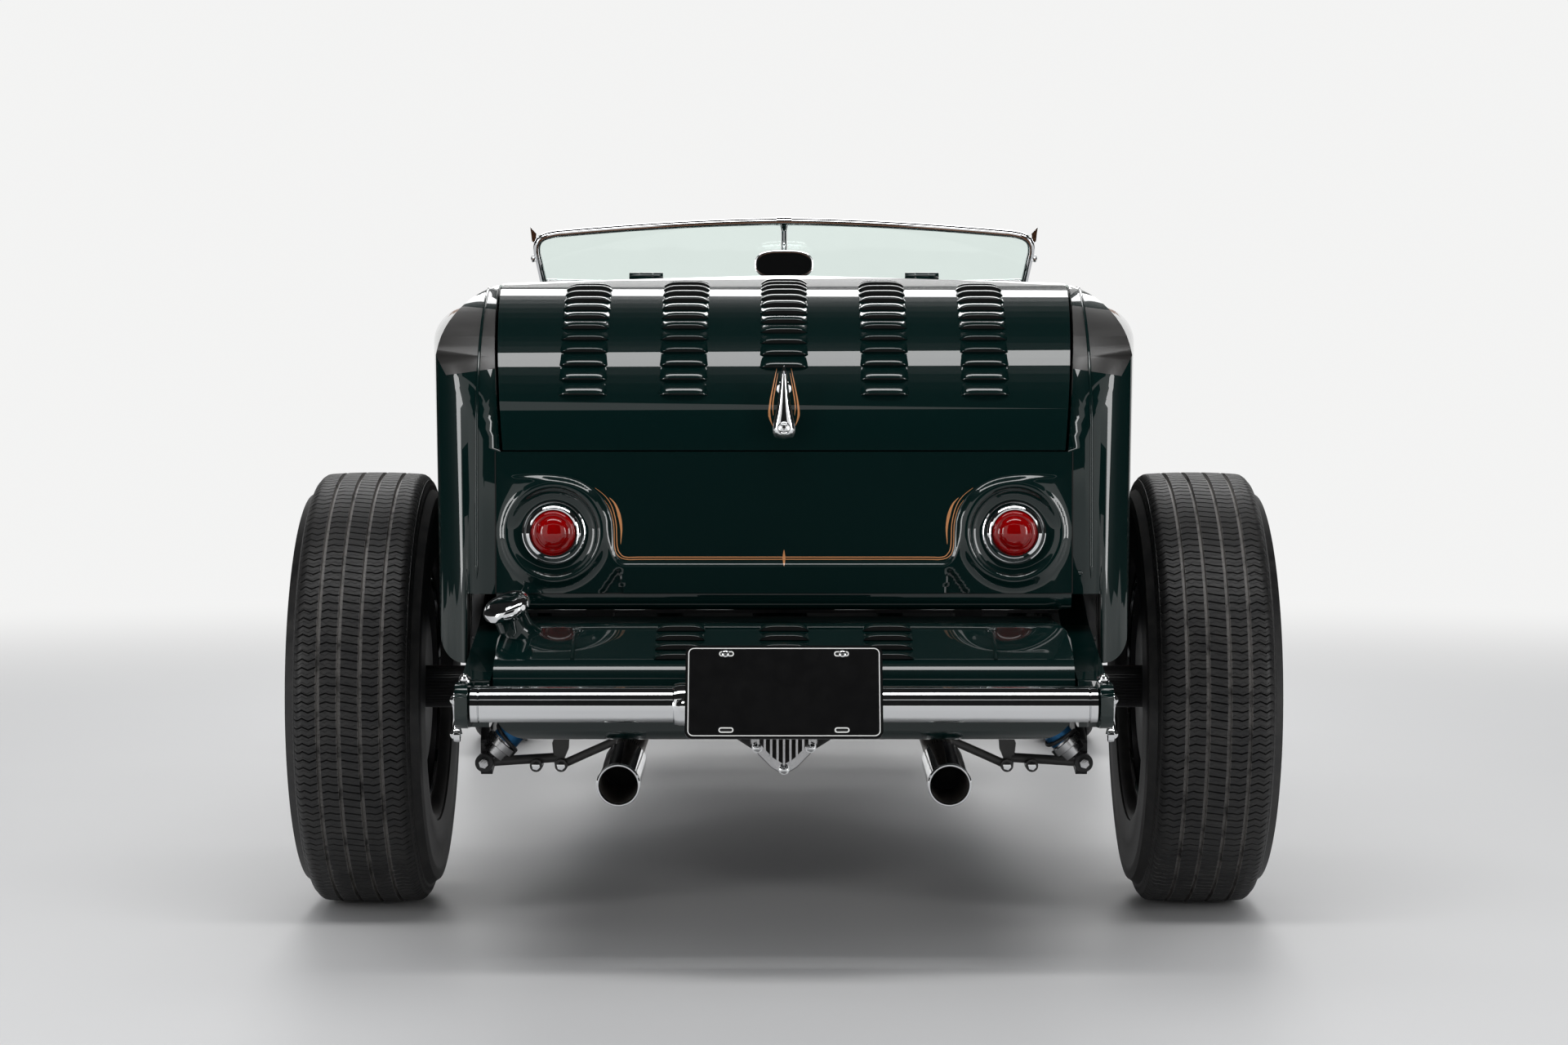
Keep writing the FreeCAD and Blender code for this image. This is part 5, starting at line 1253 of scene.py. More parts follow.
# %% Filler cap
cap_lean = Vector((-0.34, -0.36, 0.87)).normalized()
cap_centre = at(-442, -640, 567)
filler = Piece("filler_neck_and_cap")
filler.turned([(-58, 44), (-46, 36), (-36, 30), (-28, 28), (-8, 27.5), (-7, 30), (0, 30)], cap_centre,
              cap_lean, 1, steps=64)
filler.turned([(0, 30), (0.5, 36.5), (3, 39), (8, 39.6), (12, 39.2), (16, 37), (18.5, 33.5), (19.2, 31.5),
               (18.2, 29.5), (19.4, 27.5), (20.8, 18), (21.4, 8), (21.6, 0)], cap_centre, cap_lean, steps=72)
ear = cap_lean.orthogonal().normalized().cross(cap_lean)
for sign in (-1, 1):
    filler.tube([cap_centre + cap_lean * 0.010 + ear * sign * out for out in (0.0360, 0.0415)], 4.6, sides=12)
filler.done("car", [chrome, green_paint], slots["fuel_filler"], ["fuel_filler"], angle=32)

# %% Bars, collar, horn bolts and links
bar_centre = at(0, -800, 433)
bars = Piece("spreader_bars_dressed")
half = 489.0
bars.turned([(-half, 0), (-half, 25), (-half + 2.5, 28.2), (-half + 13, 28.2), (-half + 14, 26.6),
             (-half + 16, 28.2), (-172, 28.3), (-170, 31.5), (-162, 33.5), (-148, 33.5), (-140, 31.5),
             (-138, 28.3), (half - 16, 28.2), (half - 14, 26.6), (half - 13, 28.2), (half - 2.5, 28.2),
             (half, 25), (half, 0)], bar_centre, (1, 0, 0), steps=72)
bars.turned([(0, 12), (5, 12), (7, 9), (9.5, 6), (10, 0)], at(-155, -831, 433), (0, -1, 0), steps=24)
horns = Piece("horn_links_dressed")
BOLT_DOME = [(0, 11.5), (4, 12.3), (9.5, 11.5), (10.5, 9.2), (12.5, 7.13), (15.8, 3.45), (16.2, 0)]
for sign in (-1, 1):
    for z in (434, 380):
        horns.turned(BOLT_DOME, at(sign * 509.5, -745, z), (sign, 0, 0), steps=28)
    shank = [at(sign * 515, -745, z) for z in (381, 392, 407, 422, 433)]
    horns.tube(shank, [9, 6.4, 5.4, 6.4, 9], sides=16)
    horns.turned([(0, 9.5), (4, 9.5), (5, 7.8), (9, 6.4), (11.5, 3.8), (12.5, 0)],
                 at(sign * 496, -806, 470), (0, -0.5, 0.86), steps=28)
horns.done("car", chrome, slots["horn_links"], ["horn_links"], angle=40)

# The bar at the nose keeps the solid's place and size, and gets a fine groove near each end.
nose = [v.co for v in frame["nodes"]["spreader_bars"].data.vertices if v.co.y > 1.0]
end_x = max(p.x for p in nose) * 1000
front_y = (min(p.y for p in nose) + max(p.y for p in nose)) / 2
front_z = sum(p.z for p in nose) / len(nose)
front_r = (max(p.z for p in nose) - min(p.z for p in nose)) * 500
bars.turned([(-end_x, 0), (-end_x, front_r), (-end_x + 14, front_r), (-end_x + 15, front_r - 1.5),
             (-end_x + 17, front_r), (end_x - 17, front_r), (end_x - 15, front_r - 1.5),
             (end_x - 14, front_r), (end_x, front_r), (end_x, 0)],
            Vector((0, front_y, front_z)), (1, 0, 0), steps=56)
bars.done("car", chrome, slots["spreader_bars"], ["spreader_bars"], angle=34)

# %% Blank plate
plate_up, plate_out = Vector((0, 0.423, 0.906)), Vector((0, -0.906, 0.423))
plate_middle = at(0, -852, 457)


def on_plate(x, up, lift=0.0):
    return plate_middle + Vector((x / 1000, 0, 0)) + plate_up * up / 1000 + plate_out * lift / 1000


def rounded_box(half_x, half_y, radius, steps=6):
    points = []
    for cx, cy, start in ((1, 1, 0), (-1, 1, 1), (-1, -1, 2), (1, -1, 3)):
        for i in range(steps + 1):
            a = math.pi / 2 * (start + i / steps)
            points.append((cx * (half_x - radius) + radius * math.cos(a),
                           cy * (half_y - radius) + radius * math.sin(a)))
    return points


def plate_rings(*rings):
    """Closed rows of places on the plate, each from an outline and its lift."""
    return [[on_plate(x, y, lift) for x, y in outline + outline[:1]] for outline, lift in rings]


def shifted(outline, by):
    return [(x + by[0], y + by[1]) for x, y in outline]


plate = Piece("number_plate_blank")
plate.plate([on_plate(x, y, -1.6) for x, y in rounded_box(152.2, 76.1, 12)], plate_out * 0.0028, 0, 0.5)
plate.grid(plate_rings((rounded_box(148.0, 72.0, 9.0), 1.35), (rounded_box(146.5, 70.5, 7.5), 1.35)), 1)
for sx in (-1, 1):
    for sy in (-1, 1):
        slot_out = shifted(rounded_box(11.5, 4.3, 4.2, 5), (sx * 88.9, sy * 62.2))
        slot_in = shifted(rounded_box(9.6, 2.5, 2.4, 5), (sx * 88.9, sy * 62.2))
        plate.grid(plate_rings((slot_out, 1.3), (slot_out, 1.9), (slot_in, 1.9), (slot_in, 1.3)), 1)
        # a dark sheet inside each slot: painted shade of the hole
        plate.plate([on_plate(x, y, 1.32) for x, y in slot_in], plate_out * 0.0001, 3)
    head = on_plate(sx * 90.5, 62.2, 1.6)
    plate.turned([(0, 6.2), (1.2, 6.2), (2.6, 5.2), (3.4, 3.0), (3.6, 0)], head, plate_out, 2, 24)
for sx in (-1, 1):
    plate.tube([on_plate(sx * 60, -6, -2), on_plate(sx * 60, -6, -22), at(sx * 60, -812, 437)], 6, 2, 12)
plate.done("car", [plate_black, pale_enamel, chrome, dark_gap], slots["number_plate"], ["number_plate"],
           angle=40, outward=tuple(plate_out))
print("filler, bars and plate ready")

# %% [markdown]
# ## Dampers, centre cover and exhaust tips
# Each damper stands in a wound spring between two bolted eyes, leaning in toward the
# frame, and short links run inwards from its foot. The cover on the back of the axle is a
# finned casting held by seven bolts. The pipes end in plated tips with a rolled rim, tanned
# inside by heat. Turned outlines make the round forms, and the spring is grown as a coil.

# %% Coil-over dampers
SPRING_TURNS = 7.0
EYE = [(-25, 0), (-25, 9), (-20, 10), (-19, 15.8), (-13, 16.4), (13, 16.4), (19, 15.8), (20, 10), (25, 9),
       (25, 0)]
for sign, word in ((-1, "left"), (1, "right")):
    foot, top = at(sign * 528, -143, 266), at(sign * 327, -143, 489)
    along = (top - foot).normalized()
    length = (top - foot).length * 1000
    damper = Piece("damper_" + word)
    damper.turned([(10, 9), (18, 13), (22, 22), (36, 24), (38, 29.5), (47, 29.8), (50, 29.8), (51, 24),
                   (58, 22.5)], foot, along, 0, 48)
    damper.turned([(52, 22), (54, 23.4), (74, 23.4), (76, 22)], foot, along, 1, 48)
    damper.turned([(76, 21.5), (110, 21.5), (112, 20), (150, 19.5), (152, 12), (length - 60, 12),
                   (length - 58, 26), (length - 52, 29.5), (length - 40, 29.8), (length - 38, 20),
                   (length - 24, 16), (length - 10, 9)], foot, along, 2, 48)
    for end in (foot, top):
        damper.turned(EYE, end, (0, 1, 0), 2, 36)
        damper.turned([(25, 0), (25.5, 8.5), (29.5, 8.5), (30.5, 0)], end, (0, -1, 0), 0, 6)
    damper.done("car", [polished_aluminium, blue_band, black_steel], slots["coil_overs"], ["coil_overs"],
                angle=34)
    wire = coil_spring.grow(paths_mesh([]), Turns=SPRING_TURNS, Radius=0.0262, Height=(length - 112) / 1000,
                            Wire=0.0036, Material=black_steel)
    turn = Vector((0, 0, 1)).rotation_difference(along).to_matrix().to_4x4()
    lean = Matrix.Translation(foot + along * 0.052) @ turn
    grown("spring_" + word, wire, "car", black_steel, [], lean, 60)
print("dampers and springs ready")

# %% Links at the dampers' feet
BRACKET = ((396, 252), (404, 256), (409, 300), (392, 345), (376, 345), (380, 290))
for sign, word in ((-1, "left"), (1, "right")):
    links = Piece("damper_links_" + word)
    links.tube([at(sign * x, -143, z) for x, z in ((512, 267), (470, 270), (402, 274))], 8.5, 0, 16)
    links.plate([at(sign * x, -150, z) for x, z in BRACKET], Vector((0, 0.007, 0)), 0, 1.0)
    inner = [at(sign * x, -150, z) for x, z in ((392, 262), (350, 281), (300, 303), (272, 318))]
    links.tube(inner, 7.5, 0, 16)
    for x, z in ((392, 262), (436, 262)):
        links.tube([at(sign * x, -168, z), at(sign * x, -132, z)], 11.0, 0, 24)
        links.turned([(0, 7.5), (4.5, 7.5), (5.5, 0)], at(sign * x, -168, z), (0, -1, 0), 1, 6)
    links.done("car", [frame_black, chrome], slots["suspension_rods"], [], angle=38)

# %% Finned cover with bolts
cover = Piece("quick_change_cover_dressed")
COVER = ((0, 257), (22, 270), (44, 292), (58, 312), (60, 334), (60, 440), (52, 458), (34, 468.5), (0, 469.5))
ring = list(COVER) + [(-x, z) for x, z in reversed(COVER[1:-1])]
middle_z = 360.0
for y0, y1, share, mark in ((-266, -80, 1.0, 0), (-281, -266, 0.80, 2)):
    outline = [at(x * share, y1, middle_z + (z - middle_z) * share) for x, z in ring]
    cover.plate(outline, Vector((0, (y0 - y1) / 1000, 0)), mark, 2.0)
for x in range(-44, 45, 11):
    reach = 100 - 0.022 * x * x
    low, high = 362 - reach * 0.84, 362 + reach * 0.86
    fin = ((x - 1.9, low), (x + 1.9, low), (x + 1.9, high), (x - 1.9, high))
    cover.plate([at(across, -278, z) for across, z in fin], Vector((0, -0.021, 0)), 0, 0.5)
for x, z in ((0, 268), (-46, 306), (46, 306), (-53, 440), (53, 440), (-53, 372), (53, 372)):
    seat = at(x, -266, z)
    cover.turned([(0, 9), (3, 9), (3.2, 7.6), (11, 7.6), (12.5, 5), (13, 0)], seat, (0, -1, 0), 1, 6)
    cover.turned([(0, 9.5), (2.4, 9.5), (2.6, 6)], seat, (0, -1, 0), 1, 24)
cover.done("car", [polished_aluminium, chrome, cast_iron], slots["quick_change_cover"],
           ["quick_change_cover"], angle=34)

# %% Exhaust pipes and their tips
def darken_pipes(bm):
    for face in bm.faces:
        y = face.calc_center_median().y * 1000 + AXLE_BEHIND_MIDDLE
        face.material_index = 1 if y < -500 else 0


carry("exhausts", [steel_pipe, black_steel], change=darken_pipes)
for sign, word in ((-1, "left"), (1, "right")):
    mouth, behind = at(sign * 263, -700, 295), at(sign * 258, -440, 322)
    along = (behind - mouth).normalized()
    tip = Piece("exhaust_tip_" + word)
    tip.turned([(-2.0, 30.2), (-5.0, 30.4), (-6.8, 31.6), (-6.8, 33.4), (-5.0, 35.2), (-2.0, 35.6),
                (0.5, 34.8), (3, 33.9), (168, 33.9), (171, 33)], mouth, along, 0, 64)
    tip.turned([(-2.0, 30.2), (40, 30.2), (100, 30.2)], mouth, along, 1, 64)
    # a dark disc deep in the tip: painted shade inside the pipe
    tip.turned([(100, 30.2), (101, 24), (103, 23.5), (104, 0)], mouth, along, 2, 64)
    tip.done("car", [chrome, steel_pipe, dark_gap], slots["exhausts"], [], angle=36)
print("dampers, cover and exhausts ready")
# %% [markdown]
# ## Windshield and mirror
# The frame is a bright tube bowed across the car. It rises gently to the middle, turns a
# soft corner at each end and runs down the posts to the cowl. A slim post and a T fitting
# stand in the middle, and two panes fill the halves. The mirror hangs before the post.

# %% Frame, panes and fittings
TOP_CORNER, TOP_MIDDLE = (548.0, 1292.0, 1264.0), (0.0, 1400.0, 1301.5)
SIDE_DROP, MIDDLE_DROP = 98.0, 140.0


def top_rail(x):
    share = (abs(x) / TOP_CORNER[0]) ** 1.7
    y, z = (middle + (corner - middle) * share for middle, corner in zip(TOP_MIDDLE[1:], TOP_CORNER[1:]))
    return at(x, y, z)


def low_rail(x):
    share = (abs(x) / TOP_CORNER[0]) ** 1.7
    drop = MIDDLE_DROP + (SIDE_DROP - MIDDLE_DROP) * share
    return top_rail(x) + Vector((0, drop * 0.5, -drop)) / 1000


xs = [-505 + 1010 * i / 60 for i in range(61)]
# where on the rail each point of the end starts, and its offset in metres from there
ROUND_THE_CORNER = ((528, (0, 0, -0.0035)), (543, (0.000, 0.006, -0.013)), (548, (-0.001, 0.016, -0.032)),
                    (548, (-0.006, 0.030, -0.060)), (548, (-0.013, 0.049, -0.098)),
                    (548, (-0.018, 0.060, -0.128)))
right_end = [top_rail(x) + Vector(offset) for x, offset in ROUND_THE_CORNER]
left_end = [Vector((-p.x, p.y, p.z)) for p in reversed(right_end)]
outline = smooth_path(left_end + [top_rail(x) for x in xs] + right_end, 5)
frame_piece = Piece("windshield_frame_dressed")
frame_piece.tube(outline, 8.2, sides=18)
frame_piece.tube([low_rail(x) for x in [-532 + 1064 * i / 60 for i in range(61)]], 6.5, sides=14)
middle_post = [top_rail(0) + Vector((0, t * 0.5, -t)) * 0.144 for t in (0, 0.25, 0.5, 0.75, 1.0)]
frame_piece.tube(middle_post, 6.0, sides=16)
frame_piece.tube([top_rail(x) + Vector((0, 0, 0.0006)) for x in (-17, 17)], 9.6, sides=20)
frame_piece.turned([(4, 9.5), (12, 9), (20, 6.4)], top_rail(0), (0, 0.45, -0.9), steps=24)
WING = ((546, 1293, 1268), (553, 1291, 1276), (560.5, 1290, 1284), (559, 1292, 1270), (557, 1296, 1252),
        (550, 1298, 1248))
for sign in (-1, 1):
    foot = at(sign * 531, 1354, 1128) - Vector((0, -0.5, 1)) * 0.008
    frame_piece.turned([(0, 0), (0, 17), (4, 18), (12, 17), (22, 12), (40, 9.2), (44, 8)], foot,
                       (0, -0.45, 0.9), steps=32)
    frame_piece.plate([at(sign * x, y, z) for x, y, z in WING], Vector((0, 0.005, 0)), soften=1.0)
    knob = at(sign * 553, 1316, 1215)
    frame_piece.turned([(0, 7.5), (4, 8.5), (7, 6), (8, 0)], knob, (sign, 0, 0), steps=24)
frame_piece.done("car", chrome, slots["windshield_frame"], ["windshield_frame"], angle=42)

for sign, word in ((-1, "left"), (1, "right")):
    pane = Piece("windshield_pane_" + word)
    columns = [(7 + 536 * i / 30) * sign for i in range(31)]
    front, rear = [], []
    for face, half_thick in ((front, -0.0022), (rear, 0.0022)):
        for i in range(9):
            push = Vector((0, half_thick, 0))
            face.append([top_rail(x).lerp(low_rail(x * 0.974), i / 8) + push for x in columns])
    shell = front + rear[::-1]
    pane.grid(shell + [shell[0]])
    for edge in (0, len(columns) - 1):
        side_row = [row[edge] for row in shell]
        pane.add(side_row, [list(range(len(side_row)))])
    stands_for = ["windshield_glass"] if sign > 0 else []
    pane.done("car", clear_glass, slots["windshield_glass"], stands_for, angle=30)

# %% Mirror on its arm
mirror = Piece("mirror_dressed")
middle = at(0, 1409, 1206)


def stadium(half_x, half_z, steps=40):
    points = []
    for i in range(steps):
        a = 2 * math.pi * i / steps
        c, s = math.cos(a), math.sin(a)
        points.append((half_x * math.copysign(abs(c) ** 0.62, c), half_z * math.copysign(abs(s) ** 0.8, s)))
    return points


# place along the car, half width and half height of each ring of the shell
RINGS = ((-6.6, 60.0, 26.5), (-7.0, 62.5, 29.0), (-5.6, 65.6, 31.6), (-2.0, 66.0, 32.0), (3.0, 64.0, 30.5),
         (8.0, 54.0, 24.0), (11.0, 34.0, 14.0), (12.0, 8.0, 6.0))
mirror.grid([[middle + Vector((x, along, z)) / 1000 for x, z in stadium(half_x, half_z)]
             for along, half_x, half_z in RINGS], 0, closed=True)
mirror.add([middle + Vector((x, -6.5, z)) / 1000 for x, z in stadium(60.2, 26.7)], [list(range(40))], 1)
arm = [at(0, y, z) for y, z in ((1418, 1206), (1436, 1207), (1452, 1199), (1466, 1184))]
mirror.tube(arm, [7, 5.5, 5.5, 8], 0, 16)
mirror.tube([at(0, 1417, 1206), at(0, 1424, 1206)], 11, 0, 24)
mirror_glass = make_chrome("mirror_glass", (0.34, 0.36, 0.36), 0.01)
mirror.done("car", [chrome, mirror_glass], slots["mirror"], ["mirror"], angle=42)
print("windshield and mirror ready")
# %% [markdown]
# ## Seats
# The bench is two pads: a cushion and a back. Each starts as a copy of its solid, a little
# smaller, is rebuilt as an even skin and blown up as cloth with a light pressure, and the
# swelling is capped. Upright channels are sewn in afterwards, inside a plain border.

# %% Inflate a pad inside its solid
SLACK = 0.002


def pressed_pad(node, shrink, cap, voxel=0.012):
    """The solid's shape as a swollen pad, no larger than its box and a little slack."""
    low, high = (Vector(v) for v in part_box(node))
    middle, size = (low + high) / 2, high - low
    bm = bmesh.new()
    bm.from_mesh(frame["nodes"][node].data)
    bmesh.ops.remove_doubles(bm, verts=bm.verts, dist=1e-5)
    for v in bm.verts:
        inset = [(v.co[i] - middle[i]) * (1 - 2 * shrink / 1000 / size[i]) for i in range(3)]
        v.co = middle + Vector(inset)
    mesh = bpy.data.meshes.new(node + "_pad")
    bm.to_mesh(mesh)
    bm.free()
    pad = bpy.data.objects.new(node + "_pad", mesh)
    scene.collection.objects.link(pad)
    even = pad.modifiers.new("even skin", "REMESH")
    even.mode, even.voxel_size = "VOXEL", voxel
    bpy.context.view_layer.update()
    pad.data = bpy.data.meshes.new_from_object(pad.evaluated_get(bpy.context.evaluated_depsgraph_get()))
    pad.modifiers.clear()
    before = [v.co.copy() for v in pad.data.vertices]
    cloth = pad.modifiers.new("swell", "CLOTH")
    cloth.settings.use_pressure, cloth.settings.uniform_pressure_force = True, 4.0
    cloth.settings.effector_weights.gravity = 0.0
    cloth.settings.quality = 4
    for step in range(1, 21):
        scene.frame_set(step)
    swollen = bpy.data.meshes.new_from_object(pad.evaluated_get(bpy.context.evaluated_depsgraph_get()))
    pad.modifiers.clear()
    pad.data = swollen
    scene.frame_set(1)
    for v, old in zip(pad.data.vertices, before):
        move = v.co - old
        if move.length > cap / 1000:
            move *= cap / 1000 / move.length
        v.co = Vector([min(max((old + move)[i], low[i] - SLACK), high[i] + SLACK) for i in range(3)])
    fine = pad.modifiers.new("finer", "SUBSURF")
    fine.levels = fine.render_levels = 1
    bpy.context.view_layer.update()
    pad.data = bpy.data.meshes.new_from_object(pad.evaluated_get(bpy.context.evaluated_depsgraph_get()))
    pad.modifiers.clear()
    return pad, low, high


def sew(pad, low, high, facing, spacing=0.0735, depth=0.008, border=0.060):
    """Upright channels on the side that people touch, stopping at a plain border."""
    facing = Vector(facing).normalized()
    pad.data.update()
    normals = [n.vector.copy() for n in pad.data.vertex_normals]
    for v, normal in zip(pad.data.vertices, normals):
        x = v.co.x
        inside = min(x - low.x, high.x - x) - border
        soft = min(max(normal.dot(facing), 0.0), 1.0) * min(max(inside / 0.02, 0.0), 1.0)
        gap = abs((x / spacing) % 1.0 - 0.5)
        groove = math.exp(-((0.5 - gap) * spacing / 0.0055) ** 2)
        v.co -= normal * depth * groove * soft


def dress_pad(node, facing, shrink=8.0, cap=22.0):
    pad, low, high = pressed_pad(node, shrink, cap)
    sew(pad, low, high, facing)
    shade(pad.data, 60)
    pad.data.materials.clear()
    pad.data.materials.append(tan_leather)
    pad.name = node + "_pad"
    settle(pad, "car", [node])
    return pad


cushion = dress_pad("seat_cushion", (0, 0.35, 1))
backrest = dress_pad("seat_back", (0, 1, 0.3))
print("seats", [len(p.data.polygons) for p in (cushion, backrest)], "faces")

# %% [markdown]
# ## Dashboard and steering wheel
# A lacquered panel carries five round gauges in bright bezels, plain faced with ticks and
# a needle. The steering wheel has a leather rim on polished spokes.

# %% Gauges
gauges = Piece("gauges")
for x, z, radius in ((-330, 1052, 46), (-205, 1050, 27), (-120, 1050, 27), (-35, 1050, 27), (50, 1050, 27)):
    centre = at(x, 1238, z)
    bezel = [(0.2, radius + 3), (3.5, radius + 3.6), (5.2, radius + 1.6), (4.6, radius - 0.8),
             (2.2, radius - 1.8)]
    gauges.turned(bezel, centre, (0, -1, 0), 0, 56)
    gauges.turned([(1.6, radius - 1.4), (1.6, 0)], centre, (0, -1, 0), 1, 56)
    for k in range(13):
        a = math.radians(-40 + 260 * k / 12)
        inner, outer = radius * (0.74 if k % 3 else 0.64), radius * 0.86
        wide = 0.7 if k % 3 else 1.2
        along, across = Vector((math.cos(a), 0, math.sin(a))), Vector((-math.sin(a), 0, math.cos(a)))
        mark = [centre + (along * r + across * s) / 1000 + Vector((0, -0.0019, 0))
                for r, s in ((inner, -wide), (outer, -wide), (outer, wide), (inner, wide))]
        gauges.plate(mark, Vector((0, -0.0002, 0)), 2)
    a = math.radians(200)
    along, across = Vector((math.cos(a), 0, math.sin(a))), Vector((-math.sin(a), 0, math.cos(a)))
    needle = [centre + (along * r + across * s) / 1000 + Vector((0, -0.0024, 0))
              for r, s in ((-radius * 0.16, -1.2), (radius * 0.76, -0.3), (radius * 0.76, 0.3),
                           (-radius * 0.16, 1.2))]
    gauges.plate(needle, Vector((0, -0.0004, 0)), 3)
    gauges.turned([(2.2, 4.2), (4.2, 3.8), (4.4, 0)], centre, (0, -1, 0), 0, 20)
gauges.done("car", [chrome, plate_black, pale_enamel, copper_stripe], slots["dash_panel"], angle=36)

# %% Steering wheel in two finishes
low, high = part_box("steering_wheel")
wheel_middle = (Vector(low) + Vector(high)) / 2


def leather_rim(bm):
    for face in bm.faces:
        face.material_index = 0 if (face.calc_center_median() - wheel_middle).length > 0.158 else 1


carry("steering_wheel", [black_leather, polished_aluminium], change=leather_rim, angle=40)


def line_doors(bm):
    for face in bm.faces:
        middle, normal = face.calc_center_median(), face.normal
        if normal.x * middle.x < -0.2 and abs(normal.x) > 0.5 and middle.z < 1.07:
            face.material_index = 1


for side in ("left", "right"):
    carry("door_" + side, [green_paint, tan_leather], change=line_doors)
print("interior ready")
# %% [markdown]
# ## The front
# Only the tail faces the camera, but the car is dressed all round. The lamps are plated
# bullets with a rim, a fluted lens and a reflector behind it. The hood sides get two
# groups of upright louvres grown on the sheet, and the radiator's core gets its fins.

# %% Headlamps
LENS_RADIUS, LENS_STEPS, FLUTES = 83.2, 144, 36
carry("headlamps", chrome, angle=28)
for sign, word in ((-1, "left"), (1, "right")):
    foot = at(sign * 338, 2835, 800)
    rim = Piece("headlamp_rim_" + word)
    rim.turned([(-17, 92.4), (-15, 94.0), (-4, 94.4), (1.5, 93.0), (3.6, 89.5), (3.2, 85.8), (1.0, 84.0),
                (-6, 83.4), (-17, 83.4)], foot, (0, 1, 0), 0, 96)
    rim.turned([(-14, 93.6), (-12.5, 95.0), (-10, 95.2), (-8, 94.4)], foot, (0, 1, 0), 0, 96)
    rim.turned([(-24.5, 83.0), (-25.2, 60), (-25.6, 20), (-25.7, 0)], foot, (0, 1, 0), 0, 64)
    rim.done("car", chrome, slots["headlamps"], angle=36)
    lens = Piece("headlamp_lens_" + word)
    rings = []
    for r in (0.0, 16, 32, 48, 62, 74, LENS_RADIUS):
        rise = 9.5 * (1 - (r / LENS_RADIUS) ** 2) - 1.0
        flute = 0.45 if r > 10 else 0.0
        turns = [2 * math.pi * i / LENS_STEPS for i in range(LENS_STEPS)]
        rings.append([foot + Vector((r * math.cos(a), rise + flute * math.cos(a * FLUTES),
                                     r * math.sin(a))) / 1000 for a in turns])
    back = [[p + Vector((0, -0.004, 0)) for p in ring] for ring in rings]
    lens.grid(rings[1:], 0, closed=True)
    lens.grid(back[1:], 0, closed=True)
    lens.grid([rings[-1], back[-1]], 0, closed=True)
    for ring, middle in ((rings[1], rings[0][0]), (back[1], back[0][0])):
        lens.add(ring + [middle], [[i, (i + 1) % LENS_STEPS, LENS_STEPS] for i in range(LENS_STEPS)])
    stands_for = ["headlamp_lenses"] if sign > 0 else []
    lens.done("car", lamp_glass, slots["headlamp_lenses"], stands_for, angle=50)
print("headlamps ready")

# %% Hood louvres and radiator fins
SIDE_LOUVRE_PITCH = 0.0305
side_skin = skin_of("hood_sides")


def side_hit(sign, y, z):
    """Where a level ray from the side meets the hood."""
    return side_skin.ray_cast(at(sign * 900, y, z), Vector((-sign, 0, 0)))[0]


for sign, word in ((-1, "left"), (1, "right")):
    for z, rows in ((720, "low"), (845, "high")):
        first, last = side_hit(sign, 1760, z), side_hit(sign, 2500, z)
        along = (last - first).normalized()
        out = Vector((sign, 0, 0)) - along * along.x * sign
        out.normalize()
        across = along.cross(out)
        turn = Matrix((across, along, out)).transposed().to_4x4()
        turn.translation = first + out * 0.0006
        run = [Vector((0, t, 0)) for t in (0.0, 0.3, (last - first).length)]
        for label, shape, finish in LOUVRE_PARTS:
            small = seed("side_" + label, shape)
            mesh = along_paths.grow(paths_mesh([run]), Piece=small, Spacing=SIDE_LOUVRE_PITCH,
                                    Material=finish)
            grown("hood_side_" + label + "_" + word + "_" + rows, mesh, "car", finish,
                  [], turn, 50)

fins = Piece("radiator_fins")
FIN_COUNT, FIN_PITCH, FIN_THICK, FIN_HALF = 60, 7.2, 1.4, 206
for k in range(FIN_COUNT):
    z = 528 + FIN_PITCH * k
    ends = ((-FIN_HALF, z), (FIN_HALF, z), (FIN_HALF, z + FIN_THICK), (-FIN_HALF, z + FIN_THICK))
    fins.plate([at(x, 2662, height) for x, height in ends], Vector((0, 0.004, 0)))
fins.done("car", black_steel, slots["radiator"], angle=30)
print("front ready")
# %% [markdown]
# ## The studio
# Dark lacquer and chrome look like what stands around them. Narrow soft lights overhead
# draw bright lines along the crests, two upright ones draw them down the corners, and
# dark screens give the flat panels something dark to reflect, as flags do in a real
# studio. The screens show only in reflections. Far from the car the floor fades into the
# pale backdrop, and near it the floor keeps the shadow.

# %% Floor and screens
BACKDROP = (0.90, 0.90, 0.895, 1)
FLOOR_FADE = (2.4, 7.5)


def looked_at(board):
    """1 for rays that come from the camera, off a mirror or through glass, else 0."""
    kinds = ("Is Camera Ray", "Is Glossy Ray", "Is Transmission Ray")
    straight, mirrored, through = [board.node("ShaderNodeLightPath", out=kind) for kind in kinds]
    return straight.maths("MAXIMUM", mirrored).maths("MAXIMUM", through)


def make_floor():
    f = Finish("studio_floor")
    tone = f.noise(0.8, 4)
    f.done(base=f.mix(tone, (0.58, 0.58, 0.58), (0.64, 0.64, 0.635)), rough=tone * 0.1 + 0.42,
           normal=f.bump(f.noise(60, 3), 0.0005, 0.05))
    lit = f.tree.nodes["Principled BSDF"].outputs[0]
    out_socket = f.tree.nodes["Material Output"].inputs[0]
    away = f.node("ShaderNodeVectorMath", {"operation": "LENGTH"}, [f.place], out="Value").step(*FLOOR_FADE)
    backdrop = f.node("ShaderNodeEmission", None, {"Color": BACKDROP, "Strength": 1.0})
    mixed = f.node("ShaderNodeMixShader", None, [away * looked_at(f), Flow(f, lit), backdrop])
    f.tree.links.new(mixed.socket, out_socket)
    return f.material


def stage_sheet(name, corners, finish):
    mesh = bpy.data.meshes.new(name)
    mesh.from_pydata([tuple(c) for c in corners], [], [list(range(len(corners)))])
    mesh.materials.append(finish)
    obj = bpy.data.objects.new(name, mesh)
    scene.collection.objects.link(obj)
    return obj


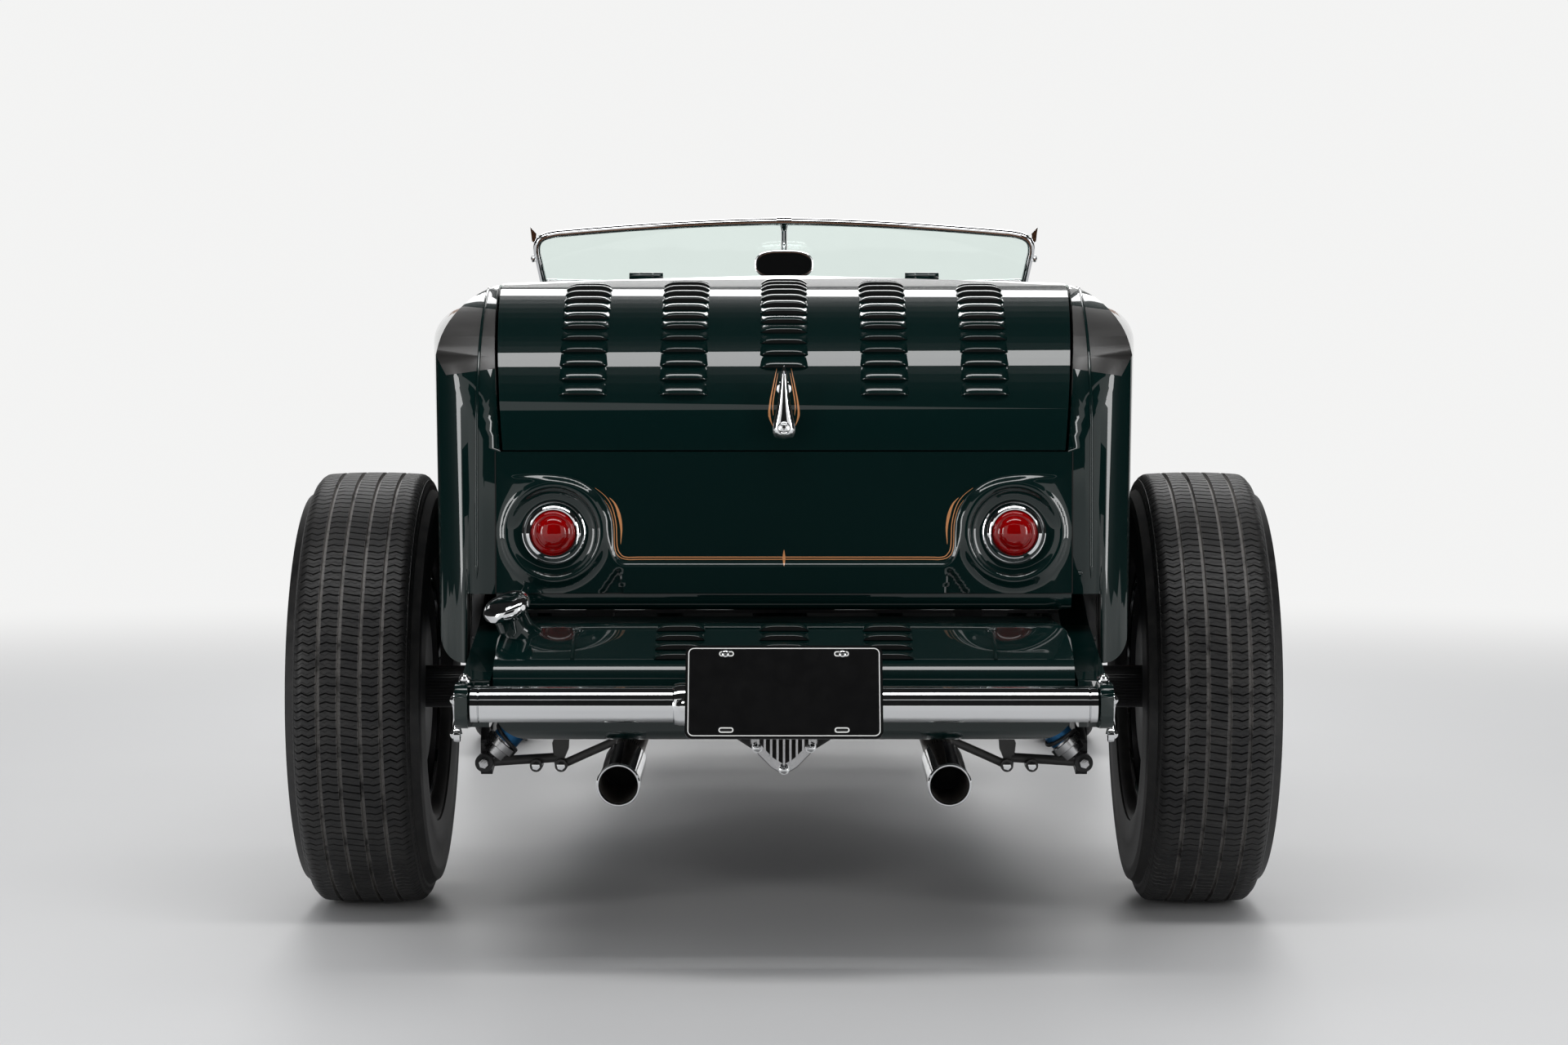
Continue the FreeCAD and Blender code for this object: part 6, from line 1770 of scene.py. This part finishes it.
floor_ring = [(60 * math.cos(a), 60 * math.sin(a), 0) for a in (2 * math.pi * i / 64 for i in range(64))]
stage_sheet("studio_floor", floor_ring, make_floor())
screen_black = make_plain("screen_black", (0.008, 0.008, 0.008), (0.012, 0.012, 0.012), 0.95, 20)
upright = [("screen_behind_camera", (-3.2, -8.6), (3.2, -8.6), 0.0, 4.7),
           ("screen_ahead", (-1.4, 7.8), (1.4, 7.8), 1.25, 3.6),
           ("screen_left", (-6.0, -6.6), (-6.0, 5.0), 0.25, 5.4),
           ("screen_right", (6.0, 5.0), (6.0, -6.6), 0.25, 5.4)]
screens = [(name, [(*a, low), (*b, low), (*b, high), (*a, high)]) for name, a, b, low, high in upright]
screens.append(("screen_above", [(-6, -9, 5.4), (6, -9, 5.4), (6, 8, 5.4), (-6, 8, 5.4)]))
for name, corners in screens:
    screen = stage_sheet(name, corners, screen_black)
    screen.visible_camera = screen.visible_shadow = False
    screen.visible_diffuse = screen.visible_transmission = False
print(len(screens), "dark screens stand round the car")

# %% [markdown]
# Five soft lights are large rectangles, each turned towards a point of the car. The world
# lights the car faintly, a little blue, while whoever looks at it sees the pale backdrop. The
# long lens keeps the tail square, as it is when one steps well back from a car.

# %% Lights, world and camera


def soft_light(name, place, aim, width, height, power):
    data = bpy.data.lights.new(name, "AREA")
    data.shape, data.size, data.size_y, data.energy = "RECTANGLE", width, height, power
    obj = bpy.data.objects.new(name, data)
    scene.collection.objects.link(obj)
    obj.location = place
    obj.rotation_euler = (Vector(aim) - Vector(place)).to_track_quat("-Z", "Y").to_euler()
    return obj


soft_light("overhead_rear", (0, -2.9, 4.3), (0, -1.2, 0.4), 4.6, 0.9, 105)
soft_light("overhead_front", (0, 2.6, 4.3), (0, 0.4, 0.4), 4.6, 1.5, 130)
soft_light("left_side", (-4.4, -4.6, 1.4), (0, -0.9, 0.6), 0.95, 2.6, 68)
soft_light("right_side", (4.4, -4.6, 1.4), (0, -0.9, 0.6), 0.95, 2.6, 68)
soft_light("front_fill", (0, 7.2, 3.0), (0, 0.5, 0.5), 3.4, 1.6, 55)

world = bpy.data.worlds.new("studio")
scene.world = world
world.use_nodes = True
sky = Board(world.node_tree)
world.node_tree.nodes.clear()
around = sky.node("ShaderNodeBackground", None, {"Color": (0.93, 0.95, 1.0, 1), "Strength": 0.42})
shown = sky.node("ShaderNodeBackground", None, {"Color": BACKDROP, "Strength": 1.0})
mixed = sky.node("ShaderNodeMixShader", None, [looked_at(sky), around, shown])
world_out = world.node_tree.nodes.new("ShaderNodeOutputWorld")
world.node_tree.links.new(mixed.socket, world_out.inputs[0])

scene.view_settings.view_transform = "Standard"
camera_data = bpy.data.cameras.new("camera")
camera_data.lens, camera_data.sensor_width = 72.4, 36.0
camera_data.clip_start, camera_data.clip_end = 0.1, 200.0
camera = bpy.data.objects.new("camera", camera_data)
scene.collection.objects.link(camera)
camera.location = (0.0, -6.7925, 0.916)
camera.rotation_euler = (math.radians(90 - 2.34), 0.0, 0.0)
scene.camera = camera
print("studio ready")
